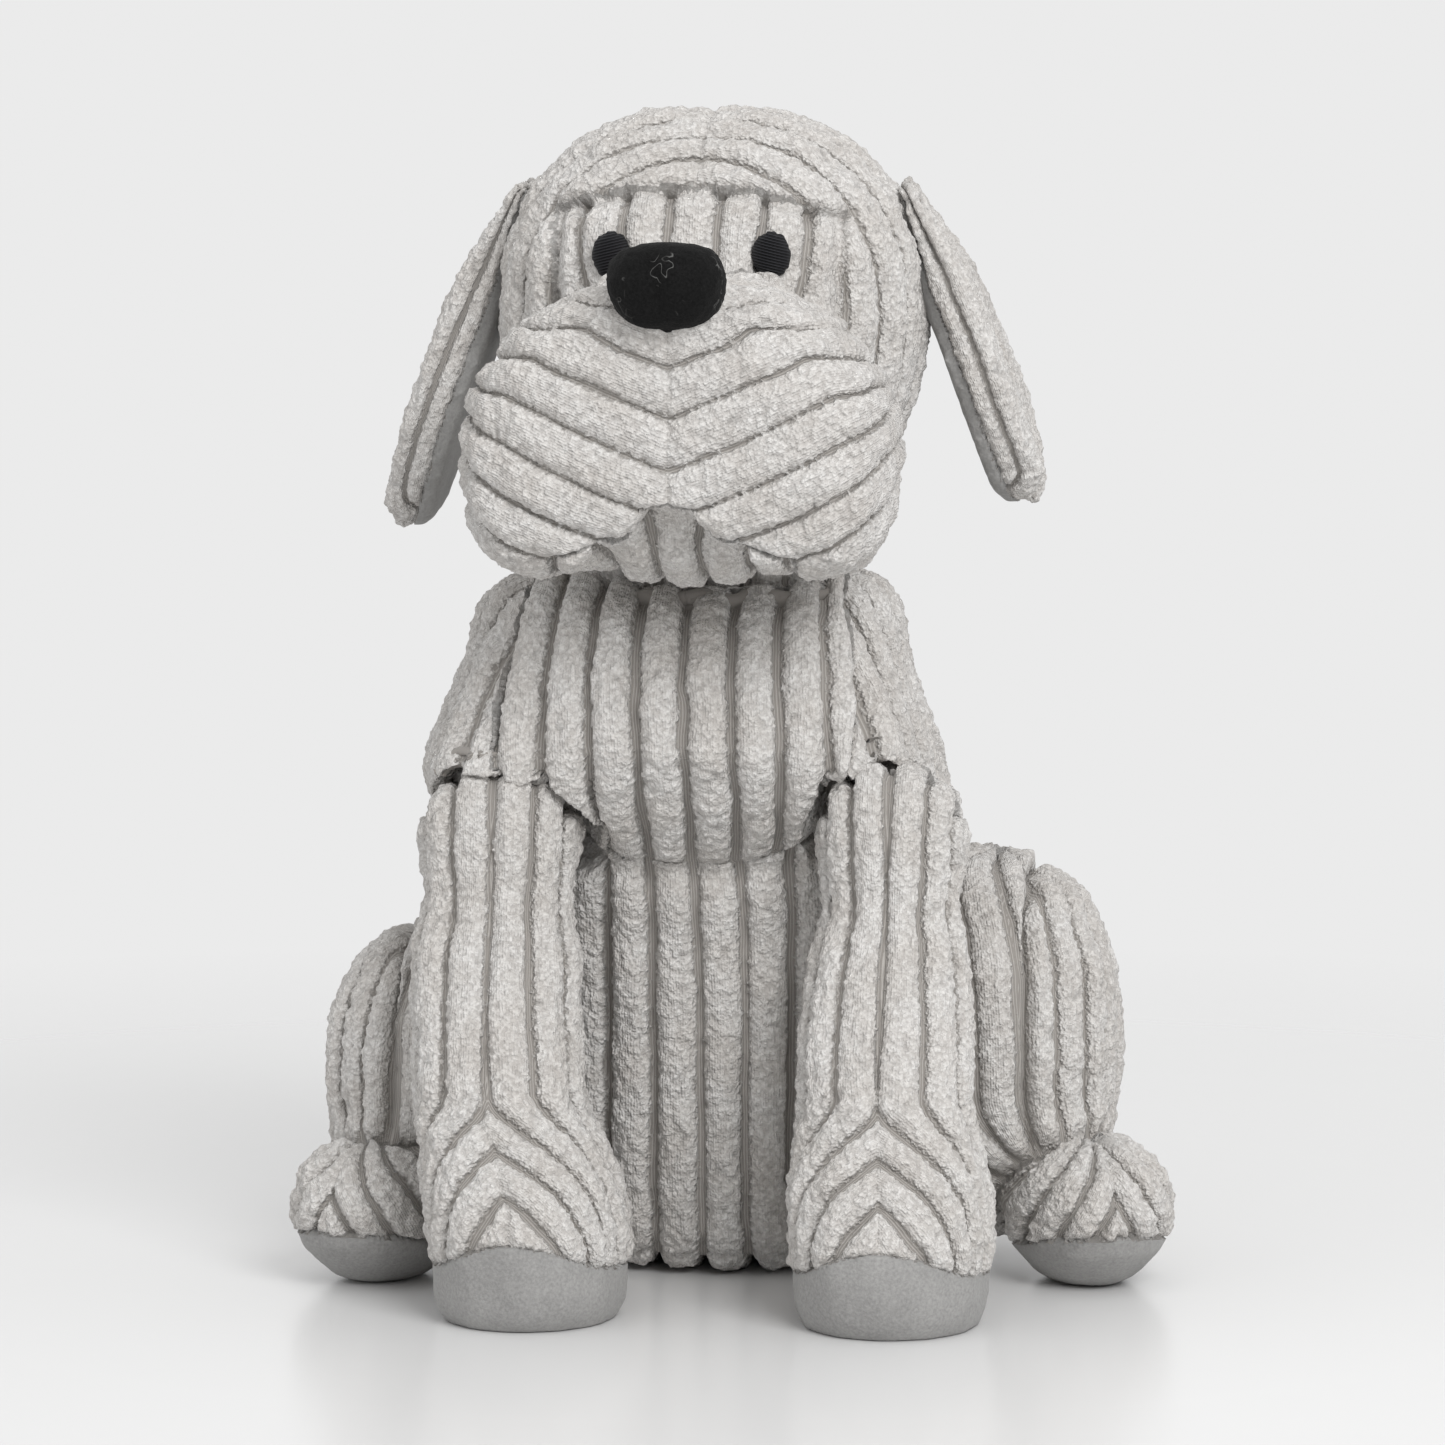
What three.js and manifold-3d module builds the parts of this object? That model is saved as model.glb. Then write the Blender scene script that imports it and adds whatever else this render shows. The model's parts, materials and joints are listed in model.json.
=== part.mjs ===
// A sitting plush dog sewn from wide-wale cord fabric, as an assembly of its sewn panels, pads and stuffing.
//
// Frame: millimetres, +Z up, the dog faces -Y, its left side is at +X. The origin is the centre of the flat
// seat, on the surface that the dog sits on. Each stuffed body (torso, head, leg, tail) is a closed form.
// Its cover is the layer between the form and the same form shrunk by the cloth's thickness, cut into panels
// along the seams, and its stuffing is the form shrunk a little more.
import * as THREE from "three";
import { mergeVertices } from "three/addons/utils/BufferGeometryUtils.js";
import Module from "manifold-3d";

const wasm = await Module();
wasm.setup();

// ---- Driving dimensions, in millimetres and degrees ----
const CLOTH = 4.5; // cord cloth: backing and pile together
const GAP = 0.35; // clearance at a seam and between neighbours
const FILL_GAP = 0.7; // clearance between a cover and its stuffing
const RUN = 0.9; // clearance where a limb's ball turns in its pocket
const HUGE = 600; // side of the blocks that cut the forms

// Torso: a stack of oval sections from the seat to the neck, squarer (above 2) over the shoulders.
const SEAT_HALF = 57; // half its width over the seat
const CHEST_HALF = 66; // and over the chest, where it is broadest
const CHEST_LEAN = 6.5; // how far the chest sits to the dog's right of its seat
const TORSO = [
  { z: 0, half: SEAT_HALF - 13, front: -40, back: 40, along: 0 },
  { z: 8, half: SEAT_HALF - 5, front: -48, back: 48, along: 0 },
  { z: 30, half: SEAT_HALF - 1, front: -52, back: 52, along: 0 },
  { z: 60, half: SEAT_HALF, front: -53, back: 47, along: 0 },
  { z: 85, half: SEAT_HALF - 1, front: -55, back: 39, along: 0.25 },
  { z: 104, half: SEAT_HALF, front: -60, back: 33, along: 0.6 },
  { z: 118, half: CHEST_HALF, front: -73, back: 29, along: 1, square: 2.5 },
  { z: 132, half: CHEST_HALF - 3, front: -82, back: 24, along: 1, square: 2.6 },
  { z: 150, half: CHEST_HALF - 9, front: -81, back: 16, along: 1, square: 2.4 },
  { z: 164, half: CHEST_HALF - 15, front: -72, back: 6, along: 0.9, square: 2.2 },
  { z: 173, half: CHEST_HALF - 26, front: -58, back: -8, along: 0.7 },
];
const WAIST_Z = 106; // seam under the chest, where the belly falls back
const CHEST_TOP_EASE = 5; // how far the chest panel's side seams clear the neck's pocket
const CHEST_LOW_EASE = 1.5; // and the shoulders' pockets, at the waist seam
const BELLY_HALF = 38; // half width of the belly panel
const PANEL_SIDE_Y = -22; // the chest and belly panels end here at the flanks
const SEAT_Z = 5; // top of the seat panel
const HIP_SINK = 2.5; // how far the haunches press the torso flat
const HIP_FLAT_X = SEAT_HALF - HIP_SINK;
const HIP_FLAT_TOP = 108;

// Weight bag in the seat, two discs of plain cloth sewn at the rim round plastic pellets.
const BAG_RADIUS = 34;
const BAG_HEIGHT = 22;
const BAG_CLOTH = 0.8;
const BAG_CENTRE_Z = 22;

// Neck: a stuffed ball with the gathered seam roll round its middle. The head turns and nods about it.
const NECK = { x: 0, y: -30, z: 173.5 };
const NECK_BALL = 24;
const NECK_ROLL = 4; // thickness of the seam roll round the ball
const NECK_ROLL_HEIGHT = 20;

// Head. Heights on it are given from the skull's middle.
const SKULL_LOW_Z = 179;
const SKULL_HALF = { x: 55, y: 50, z: 55 };
const SKULL = {
  x: 0,
  y: NECK.y - 2,
  z: SKULL_LOW_Z + SKULL_HALF.z,
  halfX: SKULL_HALF.x,
  halfY: SKULL_HALF.y,
  halfZ: SKULL_HALF.z,
};
const MUZZLE_REACH = 92; // from the skull's middle to the muzzle's front
const MUZZLE_DEPTH = 62;
const MUZZLE_ROUND = 18; // rounding of the muzzle's front edge
const MUZZLE_FRONT_Y = SKULL.y - MUZZLE_REACH;
const MUZZLE_BACK_Y = MUZZLE_FRONT_Y + MUZZLE_DEPTH;
const MUZZLE_OUTLINE = [
  // x, and height, of the left half, from the bridge round the cheek to the lip
  [0, 14.5],
  [20, 12],
  [38, 4],
  [50, -11],
  [53.5, -27],
  [51, -44],
  [42, -55.5],
  [22, -58],
  [0, -58],
];
const LIP_SPLIT = { top: -39, low: -64, halfLow: 38 }; // the split between the two lips
const CHIN_HEIGHT = -44;
const CHIN = { x: 0, y: SKULL.y - 45, z: SKULL.z + CHIN_HEIGHT, halfX: 34, halfY: 34, halfZ: 16 };
const FACE_HALF_WIDTH = 36;
const FACE_TOP = 33;
const FACE_LOW = 6;
const NOSE_HEIGHT = 11.5;
const NOSE_SUNK = 4; // its middle lies this far behind the muzzle's front
const NOSE = {
  x: 0,
  y: MUZZLE_FRONT_Y + NOSE_SUNK,
  z: SKULL.z + NOSE_HEIGHT,
  halfX: 14,
  halfY: 11,
  halfZ: 10.5,
};
const EYE_X = 19;
const EYE_HEIGHT = 18;
const EYE_HALF = { width: 4.8, height: 5.8, proud: 1.6 };

// Ears: a flat flap of cord with a suede lining, hanging from a short seam on the crown.
const EAR_HEIGHT = 35;
const EAR_BEHIND = 2; // behind the skull's middle
const EAR_STANDOFF = 2.5; // from the skull's side to the fold of the ear
const EAR_LENGTH = 91;
const EAR_ROOT_HALF = 11;
const EAR_WIDE_HALF = 21;
const EAR_CORD = 8;
const EAR_LINING = 3;
const EAR_HANG = 22; // degrees out from straight down
const EAR_TOE_IN = 20; // degrees that the lining turns to the front
const EAR_ROOT = {
  x: SKULL.halfX * Math.sqrt(1 - (EAR_HEIGHT / SKULL.halfZ) ** 2) + EAR_STANDOFF,
  y: SKULL.y + EAR_BEHIND,
  z: SKULL.z + EAR_HEIGHT,
};

// Front legs: a stuffed tube from a ball at the shoulder to a paw with a suede sole.
const SHOULDER = { x: 47, y: -60, z: 112 };
const SHOULDER_BALL = 20.5;
const shoulderRing = (share) => {
  const rise = SHOULDER_BALL * share;
  const radius = Math.sqrt(SHOULDER_BALL ** 2 - rise ** 2);
  return {
    z: SHOULDER.z + rise,
    half: radius,
    front: SHOULDER.y - radius,
    back: SHOULDER.y + radius,
  };
};
const LEG = [
  { z: 0, half: 20, front: -118, back: -74, along: 1 },
  { z: 6, half: 24.5, front: -125.5, back: -66, along: 1 },
  { z: 20, half: 26.5, front: -128, back: -62, along: 1 },
  { z: 34, half: 26, front: -123, back: -60.5, along: 0.75 },
  { z: 50, half: 22.5, front: -109, back: -59.5, along: 0.15 },
  { z: 68, half: 22.5, front: -100, back: -55, along: 0 },
  { z: 82, half: 21.5, front: -92, back: -50, along: 0 },
  { z: 96, half: SHOULDER_BALL - 2.7, front: -83, back: -46.5, along: 0 },
  shoulderRing(0),
  shoulderRing(0.585),
  shoulderRing(0.927),
];
const PAW = { y: -95, z: 20, halfY: 33 };
const PAW_X = { left: 50, right: 36.5 }; // the right leg leans in
const PAW_SOLE = { front: 19, back: 6 }; // height of the sole's seam at the toe and at the heel

// Hind legs: a flat-sided haunch with a foot that points forwards and out.
const HAUNCH = { x: HIP_FLAT_X + 7.5, y: -10, low: 5, halfX: 39, halfY: 43 };
const HAUNCH_TOP = { left: 105, right: 89 }; // the left knee is drawn up higher
const HAUNCH_SQUARE = 2.5; // 2 is an oval, and more is squarer
const HAUNCH_FLAT_X = HIP_FLAT_X + RUN;
const KNEE_SEAM_X = HIP_FLAT_X + 23.5;
const FOOT = { y: -40, z: 19, halfX: 23.5, halfY: 32, halfZ: 20 };
const FOOT_X = { left: HIP_FLAT_X + 37.5, right: HIP_FLAT_X + 25.5 };
const FOOT_TOE_OUT = 20;
const FOOT_SOLE = { front: 15, back: 5 };
const HIND_SHIFT_Y = { left: 8, right: -8 }; // the right hind leg sits further forward

// Tail: a stuffed stub at the back of the seat.
const TAIL_ROOT = { x: 0, y: 51, z: 42 };
const TAIL_BALL = 11;
const TAIL_RADIUS = 9.5;
const TAIL_LENGTH = 26;
const TAIL_RISE = 28; // degrees above level

// ---- Derived sizes ----
const NECK_POCKET = NECK_BALL + GAP + NECK_ROLL + RUN;
const SHOULDER_POCKET = SHOULDER_BALL + RUN;
const CHEST_TOP_HALF = NECK_POCKET + CHEST_TOP_EASE;
const CHEST_LOW_HALF = SHOULDER.x - SHOULDER_POCKET - CHEST_LOW_EASE;
const FOOT_INNER_X = HAUNCH_FLAT_X + CLOTH; // the foot's cover starts outside the haunch's inner wall

// ---- Materials ----
const cloth = (color, roughness) => new THREE.MeshStandardMaterial({ color, roughness, metalness: 0 });
const CORD = cloth(0xb9b3ac, 0.95);
const SUEDE = cloth(0x8e8c8a, 0.9);
const VELOUR = cloth(0x141414, 0.85);
const THREAD = cloth(0x101012, 0.6);
const FILL = cloth(0xf1efe9, 1);
const CALICO = cloth(0xd8d2c4, 0.9);
const PELLET = cloth(0xdedede, 0.4);

// ---- Solids ----
function solidOf(geometry) {
  const bare = geometry.index ? geometry.toNonIndexed() : geometry.clone();
  bare.deleteAttribute("normal");
  bare.deleteAttribute("uv");
  const merged = mergeVertices(bare, 1e-4);
  return new wasm.Manifold(
    new wasm.Mesh({
      numProp: 3,
      vertProperties: new Float32Array(merged.attributes.position.array),
      triVerts: new Uint32Array(merged.index.array),
    }),
  );
}

function meshOf(name, solid, material) {
  const found = solid.getMesh();
  const places = new Float32Array(found.numVert * 3);
  for (let i = 0; i < found.numVert; i++) {
    const start = i * found.numProp;
    places.set(found.vertProperties.subarray(start, start + 3), i * 3);
  }
  const geometry = new THREE.BufferGeometry();
  geometry.setAttribute("position", new THREE.BufferAttribute(places, 3));
  geometry.setIndex(new THREE.BufferAttribute(found.triVerts, 1));
  geometry.computeVertexNormals();
  const mesh = new THREE.Mesh(geometry, material);
  mesh.name = name;
  return mesh;
}

const cut = (solid, ...tools) => tools.reduce((rest, tool) => rest.subtract(tool), solid);
const join = (...solids) => solids.reduce((sum, solid) => sum.add(solid));

// An oval ball. grow moves its surface out, or in where it is negative. A square above 2 fills its corners.
function ball(size, grow = 0, around = 12, high = 8) {
  const geometry = new THREE.SphereGeometry(1, around, high);
  geometry.rotateX(Math.PI / 2);
  const power = size.square ?? 2;
  const place = geometry.attributes.position;
  for (let i = 0; i < place.count; i++) {
    const at = [place.getX(i), place.getY(i), place.getZ(i)];
    const sum = at.reduce((total, value) => total + Math.abs(value) ** power, 0);
    place.setXYZ(i, ...at.map((value) => value / sum ** (1 / power)));
  }
  geometry.scale(size.halfX + grow, size.halfY + grow, size.halfZ + grow);
  geometry.rotateZ(size.turned ?? 0);
  geometry.translate(size.x, size.y, size.z);
  return solidOf(geometry);
}

const roundBall = (centre, radius, around = 14, high = 8) =>
  ball({ ...centre, halfX: radius, halfY: radius, halfZ: radius }, 0, around, high);

// Everything on the side of a plane that its normal points to.
function halfSpace(point, normal) {
  const geometry = new THREE.BoxGeometry(HUGE, HUGE, HUGE);
  geometry.translate(0, 0, HUGE / 2);
  const turn = new THREE.Quaternion().setFromUnitVectors(
    new THREE.Vector3(0, 0, 1),
    new THREE.Vector3(...normal).normalize(),
  );
  geometry.applyQuaternion(turn);
  geometry.translate(...point);
  return solidOf(geometry);
}

function block(low, high) {
  const size = high.map((value, i) => value - low[i]);
  const geometry = new THREE.BoxGeometry(...size);
  geometry.translate(...low.map((value, i) => value + size[i] / 2));
  return solidOf(geometry);
}

// The two sides of a seam that lies in a plane, with the seam's gap between them.
function sidesOf(point, normal) {
  const unit = new THREE.Vector3(...normal).normalize().toArray();
  const off = (sign) => point.map((value, i) => value + (sign * unit[i] * GAP) / 2);
  return {
    ahead: halfSpace(off(1), unit),
    behind: halfSpace(off(-1), unit.map((value) => -value)),
  };
}

// A closed body through oval sections at rising heights: a lathe of unit radius whose rings take each
// section's half width, front and back, with smooth values in between. grow and square work as in ball().
function stack(sections, { grow = 0, rings = 10, around = 18, centreX = () => 0 } = {}) {
  const low = sections[0].z;
  const high = sections[sections.length - 1].z;
  const sizes = new THREE.CatmullRomCurve3(
    sections.map((s) => new THREE.Vector3(s.half, s.front, s.back)),
    false,
    "catmullrom",
    0.5,
  );
  const heights = new THREE.CatmullRomCurve3(
    sections.map((s) => new THREE.Vector3(s.z, s.along ?? 0, s.square ?? 2)),
    false,
    "catmullrom",
    0.5,
  );
  const profile = [new THREE.Vector2(0, 0)];
  for (let i = 0; i <= rings; i++) profile.push(new THREE.Vector2(1, i));
  profile.push(new THREE.Vector2(0, rings));
  const geometry = new THREE.LatheGeometry(profile, around);
  geometry.rotateX(Math.PI / 2);
  const place = geometry.attributes.position;
  for (let i = 0; i < place.count; i++) {
    const t = THREE.MathUtils.clamp(place.getZ(i) / rings, 0, 1);
    const size = sizes.getPoint(t);
    const height = heights.getPoint(t);
    const middle = (size.y + size.z) / 2;
    const depth = (size.z - size.y) / 2;
    const squeeze = (high - low + 2 * grow) / (high - low);
    const z = (low + high) / 2 + (height.x - (low + high) / 2) * squeeze;
    const [u, v] = [place.getX(i), place.getY(i)];
    const square = height.z;
    const corner = (Math.abs(u) ** square + Math.abs(v) ** square) ** (1 / square);
    const full = corner > 0 ? Math.hypot(u, v) / corner : 1;
    place.setXYZ(i, centreX(height.y) + u * full * (size.x + grow), middle + v * full * (depth + grow), z);
  }
  return solidOf(geometry);
}

const dog = new THREE.Group();
const add = (name, solid, material) => dog.add(meshOf(name, solid, material));
const SIDES = { left: 1, right: -1 };

// ---- Torso ----
const leanX = (along) => -CHEST_LEAN * along;
const torsoForm = (grow) => stack(TORSO, { grow, around: 18, centreX: leanX });
const hipFlats = (grow) => {
  const [x, top] = [HIP_FLAT_X + grow, HIP_FLAT_TOP - grow];
  return join(
    block([x, -HUGE / 2, -10], [HUGE / 2, HUGE / 2, top]),
    block([-HUGE / 2, -HUGE / 2, -10], [-x, HUGE / 2, top]),
  );
};
const neckPocket = roundBall(NECK, NECK_POCKET, 16, 10);
const shoulderAt = (side) => ({ ...SHOULDER, x: SIDES[side] * SHOULDER.x });
const pockets = join(
  neckPocket,
  roundBall(TAIL_ROOT, TAIL_BALL + RUN),
  ...Object.keys(SIDES).map((side) => roundBall(shoulderAt(side), SHOULDER_POCKET, 14, 8)),
);

function addTorso() {
  const outer = torsoForm(0).subtract(hipFlats(0));
  const inner = torsoForm(-CLOTH).subtract(hipFlats(-CLOTH));
  const cover = cut(outer, inner, pockets);
  const seat = sidesOf([0, 0, SEAT_Z], [0, 0, 1]);
  const waist = sidesOf([0, 0, WAIST_Z], [0, 0, 1]);
  const flank = sidesOf([0, PANEL_SIDE_Y, 0], [0, 1, 0]);
  const rise = (CHEST_LOW_HALF - CHEST_TOP_HALF) / (NECK.z - WAIST_Z);
  const spread = [-1, 1].map((sign) =>
    sidesOf([sign * CHEST_LOW_HALF, 0, WAIST_Z], [sign, 0, rise]),
  );
  const upright = [-1, 1].map((sign) => sidesOf([sign * BELLY_HALF, 0, 0], [sign, 0, 0]));
  const centre = sidesOf([0, 0, 0], [1, 0, 0]);
  const inside = (sides) => sides[0].behind.intersect(sides[1].behind);

  const chestZone = inside(spread).intersect(flank.behind).intersect(waist.ahead);
  const bellyZone = inside(upright).intersect(flank.behind).intersect(waist.behind);
  const chestRoom = cut(
    waist.ahead.intersect(flank.behind.add(block([-HUGE, -HUGE, 0], [HUGE, PANEL_SIDE_Y + GAP / 2, HUGE]))),
    spread[0].ahead,
    spread[1].ahead,
  );
  const bellyRoom = cut(
    block([-HUGE, -HUGE, -10], [HUGE, PANEL_SIDE_Y + GAP / 2, WAIST_Z + GAP / 2]),
    upright[0].ahead,
    upright[1].ahead,
  );
  const walls = cover.intersect(seat.ahead);
  add("chest_panel", walls.intersect(chestZone), CORD);
  add("belly_panel", walls.intersect(bellyZone), CORD);
  const flanks = cut(walls, chestRoom, bellyRoom);
  add("left_side_panel", flanks.intersect(centre.ahead), CORD);
  add("right_side_panel", flanks.intersect(centre.behind), CORD);
  add("seat_panel", cover.intersect(seat.behind), CORD);

  const bag = { x: 0, y: 0, z: BAG_CENTRE_Z, halfX: BAG_RADIUS, halfY: BAG_RADIUS, halfZ: BAG_HEIGHT / 2 };
  const bagCloth = ball(bag).subtract(ball(bag, -BAG_CLOTH));
  const rim = sidesOf([0, 0, BAG_CENTRE_Z], [0, 0, 1]);
  add("weight_bag_top", bagCloth.intersect(rim.ahead), CALICO);
  add("weight_bag_bottom", bagCloth.intersect(rim.behind), CALICO);
  add("weight_pellets", ball(bag, -BAG_CLOTH - GAP), PELLET);

  const stuffing = torsoForm(-CLOTH - FILL_GAP).subtract(hipFlats(-CLOTH - FILL_GAP));
  const bagWay = block([-2, -HUGE, BAG_CENTRE_Z - 2], [2, 0, BAG_CENTRE_Z + 2]);
  add("torso_stuffing", cut(stuffing, pockets, ball(bag, GAP), bagWay), FILL);
}

// ---- Neck ----
function addNeck() {
  add("neck_stuffing", roundBall(NECK, NECK_BALL, 14, 8), FILL);
  const roll = roundBall(NECK, NECK_BALL + GAP + NECK_ROLL, 14, 8);
  const band = block(
    [-HUGE / 2, -HUGE / 2, NECK.z - NECK_ROLL_HEIGHT / 2],
    [HUGE / 2, HUGE / 2, NECK.z + NECK_ROLL_HEIGHT / 2],
  );
  add("neck_seam_roll", roll.subtract(roundBall(NECK, NECK_BALL + GAP, 14, 8)).intersect(band), CORD);
}

// ---- Head ----
const skullForm = (grow) => ball(SKULL, grow, 16, 10);
const chinForm = (grow) => ball(CHIN, grow, 14, 6);

// A prism along Y of an outline given in x and z.
function prismAlongY(outline, depth, options = {}) {
  const geometry = new THREE.ExtrudeGeometry(outline, { depth, steps: 1, bevelEnabled: false, ...options });
  geometry.rotateX(Math.PI / 2); // the outline's y becomes z, and the depth runs towards -Y
  return geometry;
}

// The muzzle is its front outline run back into the skull, with round edges, less the split of the lips.
function muzzleForm(grow) {
  const half = MUZZLE_OUTLINE.map(([x, height]) => new THREE.Vector2(x, SKULL.z + height));
  const mirrored = half.map((p) => new THREE.Vector2(-p.x, p.y)).reverse();
  const left = new THREE.SplineCurve(half).getPoints(8);
  const right = new THREE.SplineCurve(mirrored).getPoints(8).slice(1, -1);
  const body = prismAlongY(
    new THREE.Shape([...left, ...right]),
    MUZZLE_BACK_Y - MUZZLE_FRONT_Y - 2 * MUZZLE_ROUND,
    {
      bevelEnabled: true,
      bevelThickness: MUZZLE_ROUND + grow,
      bevelSize: MUZZLE_ROUND + grow,
      bevelOffset: -MUZZLE_ROUND,
      bevelSegments: 2,
    },
  );
  body.translate(0, MUZZLE_BACK_Y - MUZZLE_ROUND, 0);
  const { top, low, halfLow } = LIP_SPLIT;
  const wedge = new THREE.Shape([
    new THREE.Vector2(-halfLow + grow, SKULL.z + low),
    new THREE.Vector2(halfLow - grow, SKULL.z + low),
    new THREE.Vector2(0, SKULL.z + top - grow),
  ]);
  const split = prismAlongY(wedge, HUGE);
  split.translate(0, HUGE / 2, 0);
  return solidOf(body).subtract(solidOf(split));
}

function addHead() {
  const g = GAP;
  const skull = cut(skullForm(0), skullForm(-CLOTH), muzzleForm(g), chinForm(g), neckPocket);
  const faceBox = (grow) =>
    block(
      [-FACE_HALF_WIDTH - grow, -HUGE, SKULL.z + FACE_LOW - grow],
      [FACE_HALF_WIDTH + grow, SKULL.y, SKULL.z + FACE_TOP + grow],
    );
  const centre = sidesOf([0, 0, 0], [1, 0, 0]);
  const crown = skull.subtract(faceBox(g));
  add("left_crown_panel", crown.intersect(centre.ahead), CORD);
  add("right_crown_panel", crown.intersect(centre.behind), CORD);
  add("face_panel", skull.intersect(faceBox(0)), CORD);

  const muzzle = cut(muzzleForm(0), muzzleForm(-CLOTH), skullForm(g), neckPocket);
  add("left_muzzle_panel", muzzle.intersect(centre.ahead), CORD);
  add("right_muzzle_panel", muzzle.intersect(centre.behind), CORD);
  const chin = cut(chinForm(0), chinForm(-CLOTH), muzzleForm(g), skullForm(g), neckPocket);
  add("chin_panel", chin, CORD);

  const inside = -CLOTH - FILL_GAP;
  const stuffing = join(skullForm(inside), muzzleForm(inside), chinForm(inside).subtract(muzzleForm(g)));
  add("head_stuffing", stuffing.subtract(neckPocket), FILL);

  add("nose", cut(ball(NOSE, 0, 14, 8), muzzleForm(g)), VELOUR);
  for (const [side, sign] of Object.entries(SIDES)) {
    const depth = Math.sqrt(
      1 - (EYE_X / SKULL.halfX) ** 2 - (EYE_HEIGHT / SKULL.halfZ) ** 2,
    );
    const eye = {
      x: sign * EYE_X,
      y: SKULL.y - SKULL.halfY * depth,
      z: SKULL.z + EYE_HEIGHT,
      halfX: EYE_HALF.width,
      halfY: EYE_HALF.proud + CLOTH / 2,
      halfZ: EYE_HALF.height,
    };
    add(side + "_eye", cut(ball(eye, 0, 12, 6), skullForm(g), muzzleForm(g)), THREAD);
  }
}

// ---- Ears ----
// Flat outline of an ear, hanging down from the middle of its root seam.
function earOutline(inset) {
  const tip = -EAR_LENGTH + inset;
  const edge = [
    [EAR_ROOT_HALF - inset, 0],
    [EAR_ROOT_HALF + 4 - inset, -EAR_LENGTH * 0.25],
    [EAR_WIDE_HALF - inset, -EAR_LENGTH * 0.62],
    [EAR_WIDE_HALF * 0.72 - inset, -EAR_LENGTH * 0.88],
    [0, tip],
  ];
  const half = edge.map(([x, y]) => new THREE.Vector2(x, y));
  const other = half
    .slice(0, -1)
    .reverse()
    .map((p) => new THREE.Vector2(-p.x, p.y));
  return new THREE.Shape(new THREE.SplineCurve([...half, ...other]).getPoints(18));
}

function earLayer(thickness, inset, round) {
  const geometry = new THREE.ExtrudeGeometry(earOutline(inset), {
    depth: thickness - 2 * round,
    steps: 1,
    bevelEnabled: true,
    bevelThickness: round,
    bevelSize: round,
    bevelOffset: -round,
    bevelSegments: 1,
  });
  geometry.translate(0, 0, round);
  geometry.rotateX(Math.PI / 2);
  geometry.rotateZ(Math.PI / 2); // outline in the YZ plane, thickness along +X
  return geometry;
}

function addEars() {
  for (const [side, sign] of Object.entries(SIDES)) {
    const layers = [
      [side + "_ear_cord", earLayer(EAR_CORD, 0, 2.4), 0, CORD],
      [side + "_ear_lining", earLayer(EAR_LINING, 2.5, 0.6), -EAR_LINING - GAP, SUEDE],
    ];
    for (const [name, geometry, offset, material] of layers) {
      geometry.translate(offset, 0, 0);
      geometry.rotateY((-EAR_HANG * Math.PI) / 180);
      geometry.rotateZ((EAR_TOE_IN * Math.PI) / 180);
      geometry.translate(EAR_ROOT.x, EAR_ROOT.y, EAR_ROOT.z);
      if (sign < 0) mirrorX(geometry);
      add(name, solidOf(geometry).subtract(skullForm(GAP)), material);
    }
  }
}

// Mirrors a geometry from the dog's left to its right, and turns its faces back outwards.
function mirrorX(geometry) {
  geometry.scale(-1, 1, 1);
  const index = geometry.index;
  const place = geometry.attributes.position;
  const swap = (read, write) => {
    for (let i = 0; i < (index ? index.count : place.count); i += 3) {
      const [a, b] = [read(i + 1), read(i + 2)];
      write(i + 1, b);
      write(i + 2, a);
    }
  };
  if (index) {
    swap(
      (i) => index.getX(i),
      (i, value) => index.setX(i, value),
    );
  } else {
    swap(
      (i) => [place.getX(i), place.getY(i), place.getZ(i)],
      (i, value) => place.setXYZ(i, ...value),
    );
  }
}

// ---- Front legs ----
// The flat seam of a sole, higher at the toe than at the heel.
function soleSeam(size, seam) {
  const tilt = (seam.front - seam.back) / (2 * size.halfY);
  const turned = size.turned ?? 0;
  const normal = [-tilt * Math.sin(turned), tilt * Math.cos(turned), 1];
  return sidesOf([size.x, size.y, (seam.front + seam.back) / 2], normal);
}

function addFrontLegs() {
  for (const [side, sign] of Object.entries(SIDES)) {
    const paw = { ...PAW, x: sign * PAW_X[side] };
    const lean = PAW_X[side] - SHOULDER.x;
    const centreX = (along) => sign * (SHOULDER.x + lean * along);
    const form = (grow) => stack(LEG, { grow, rings: LEG.length - 1, around: 12, centreX });
    const cover = form(0).subtract(form(-CLOTH));
    const sole = soleSeam(paw, PAW_SOLE);
    const middle = sidesOf([sign * SHOULDER.x, 0, SHOULDER.z], [sign * (SHOULDER.z - PAW.z), 0, lean]);
    const sleeve = cover.intersect(sole.ahead);
    add(side + "_front_leg_outer_panel", sleeve.intersect(middle.ahead), CORD);
    add(side + "_front_leg_inner_panel", sleeve.intersect(middle.behind), CORD);
    add(side + "_front_sole", cover.intersect(sole.behind), SUEDE);
    add(side + "_front_leg_stuffing", form(-CLOTH - FILL_GAP), FILL);
  }
}

// ---- Hind legs ----
const aboveFloor = block([-HUGE / 2, -HUGE / 2, 0], [HUGE / 2, HUGE / 2, HUGE]);

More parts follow.
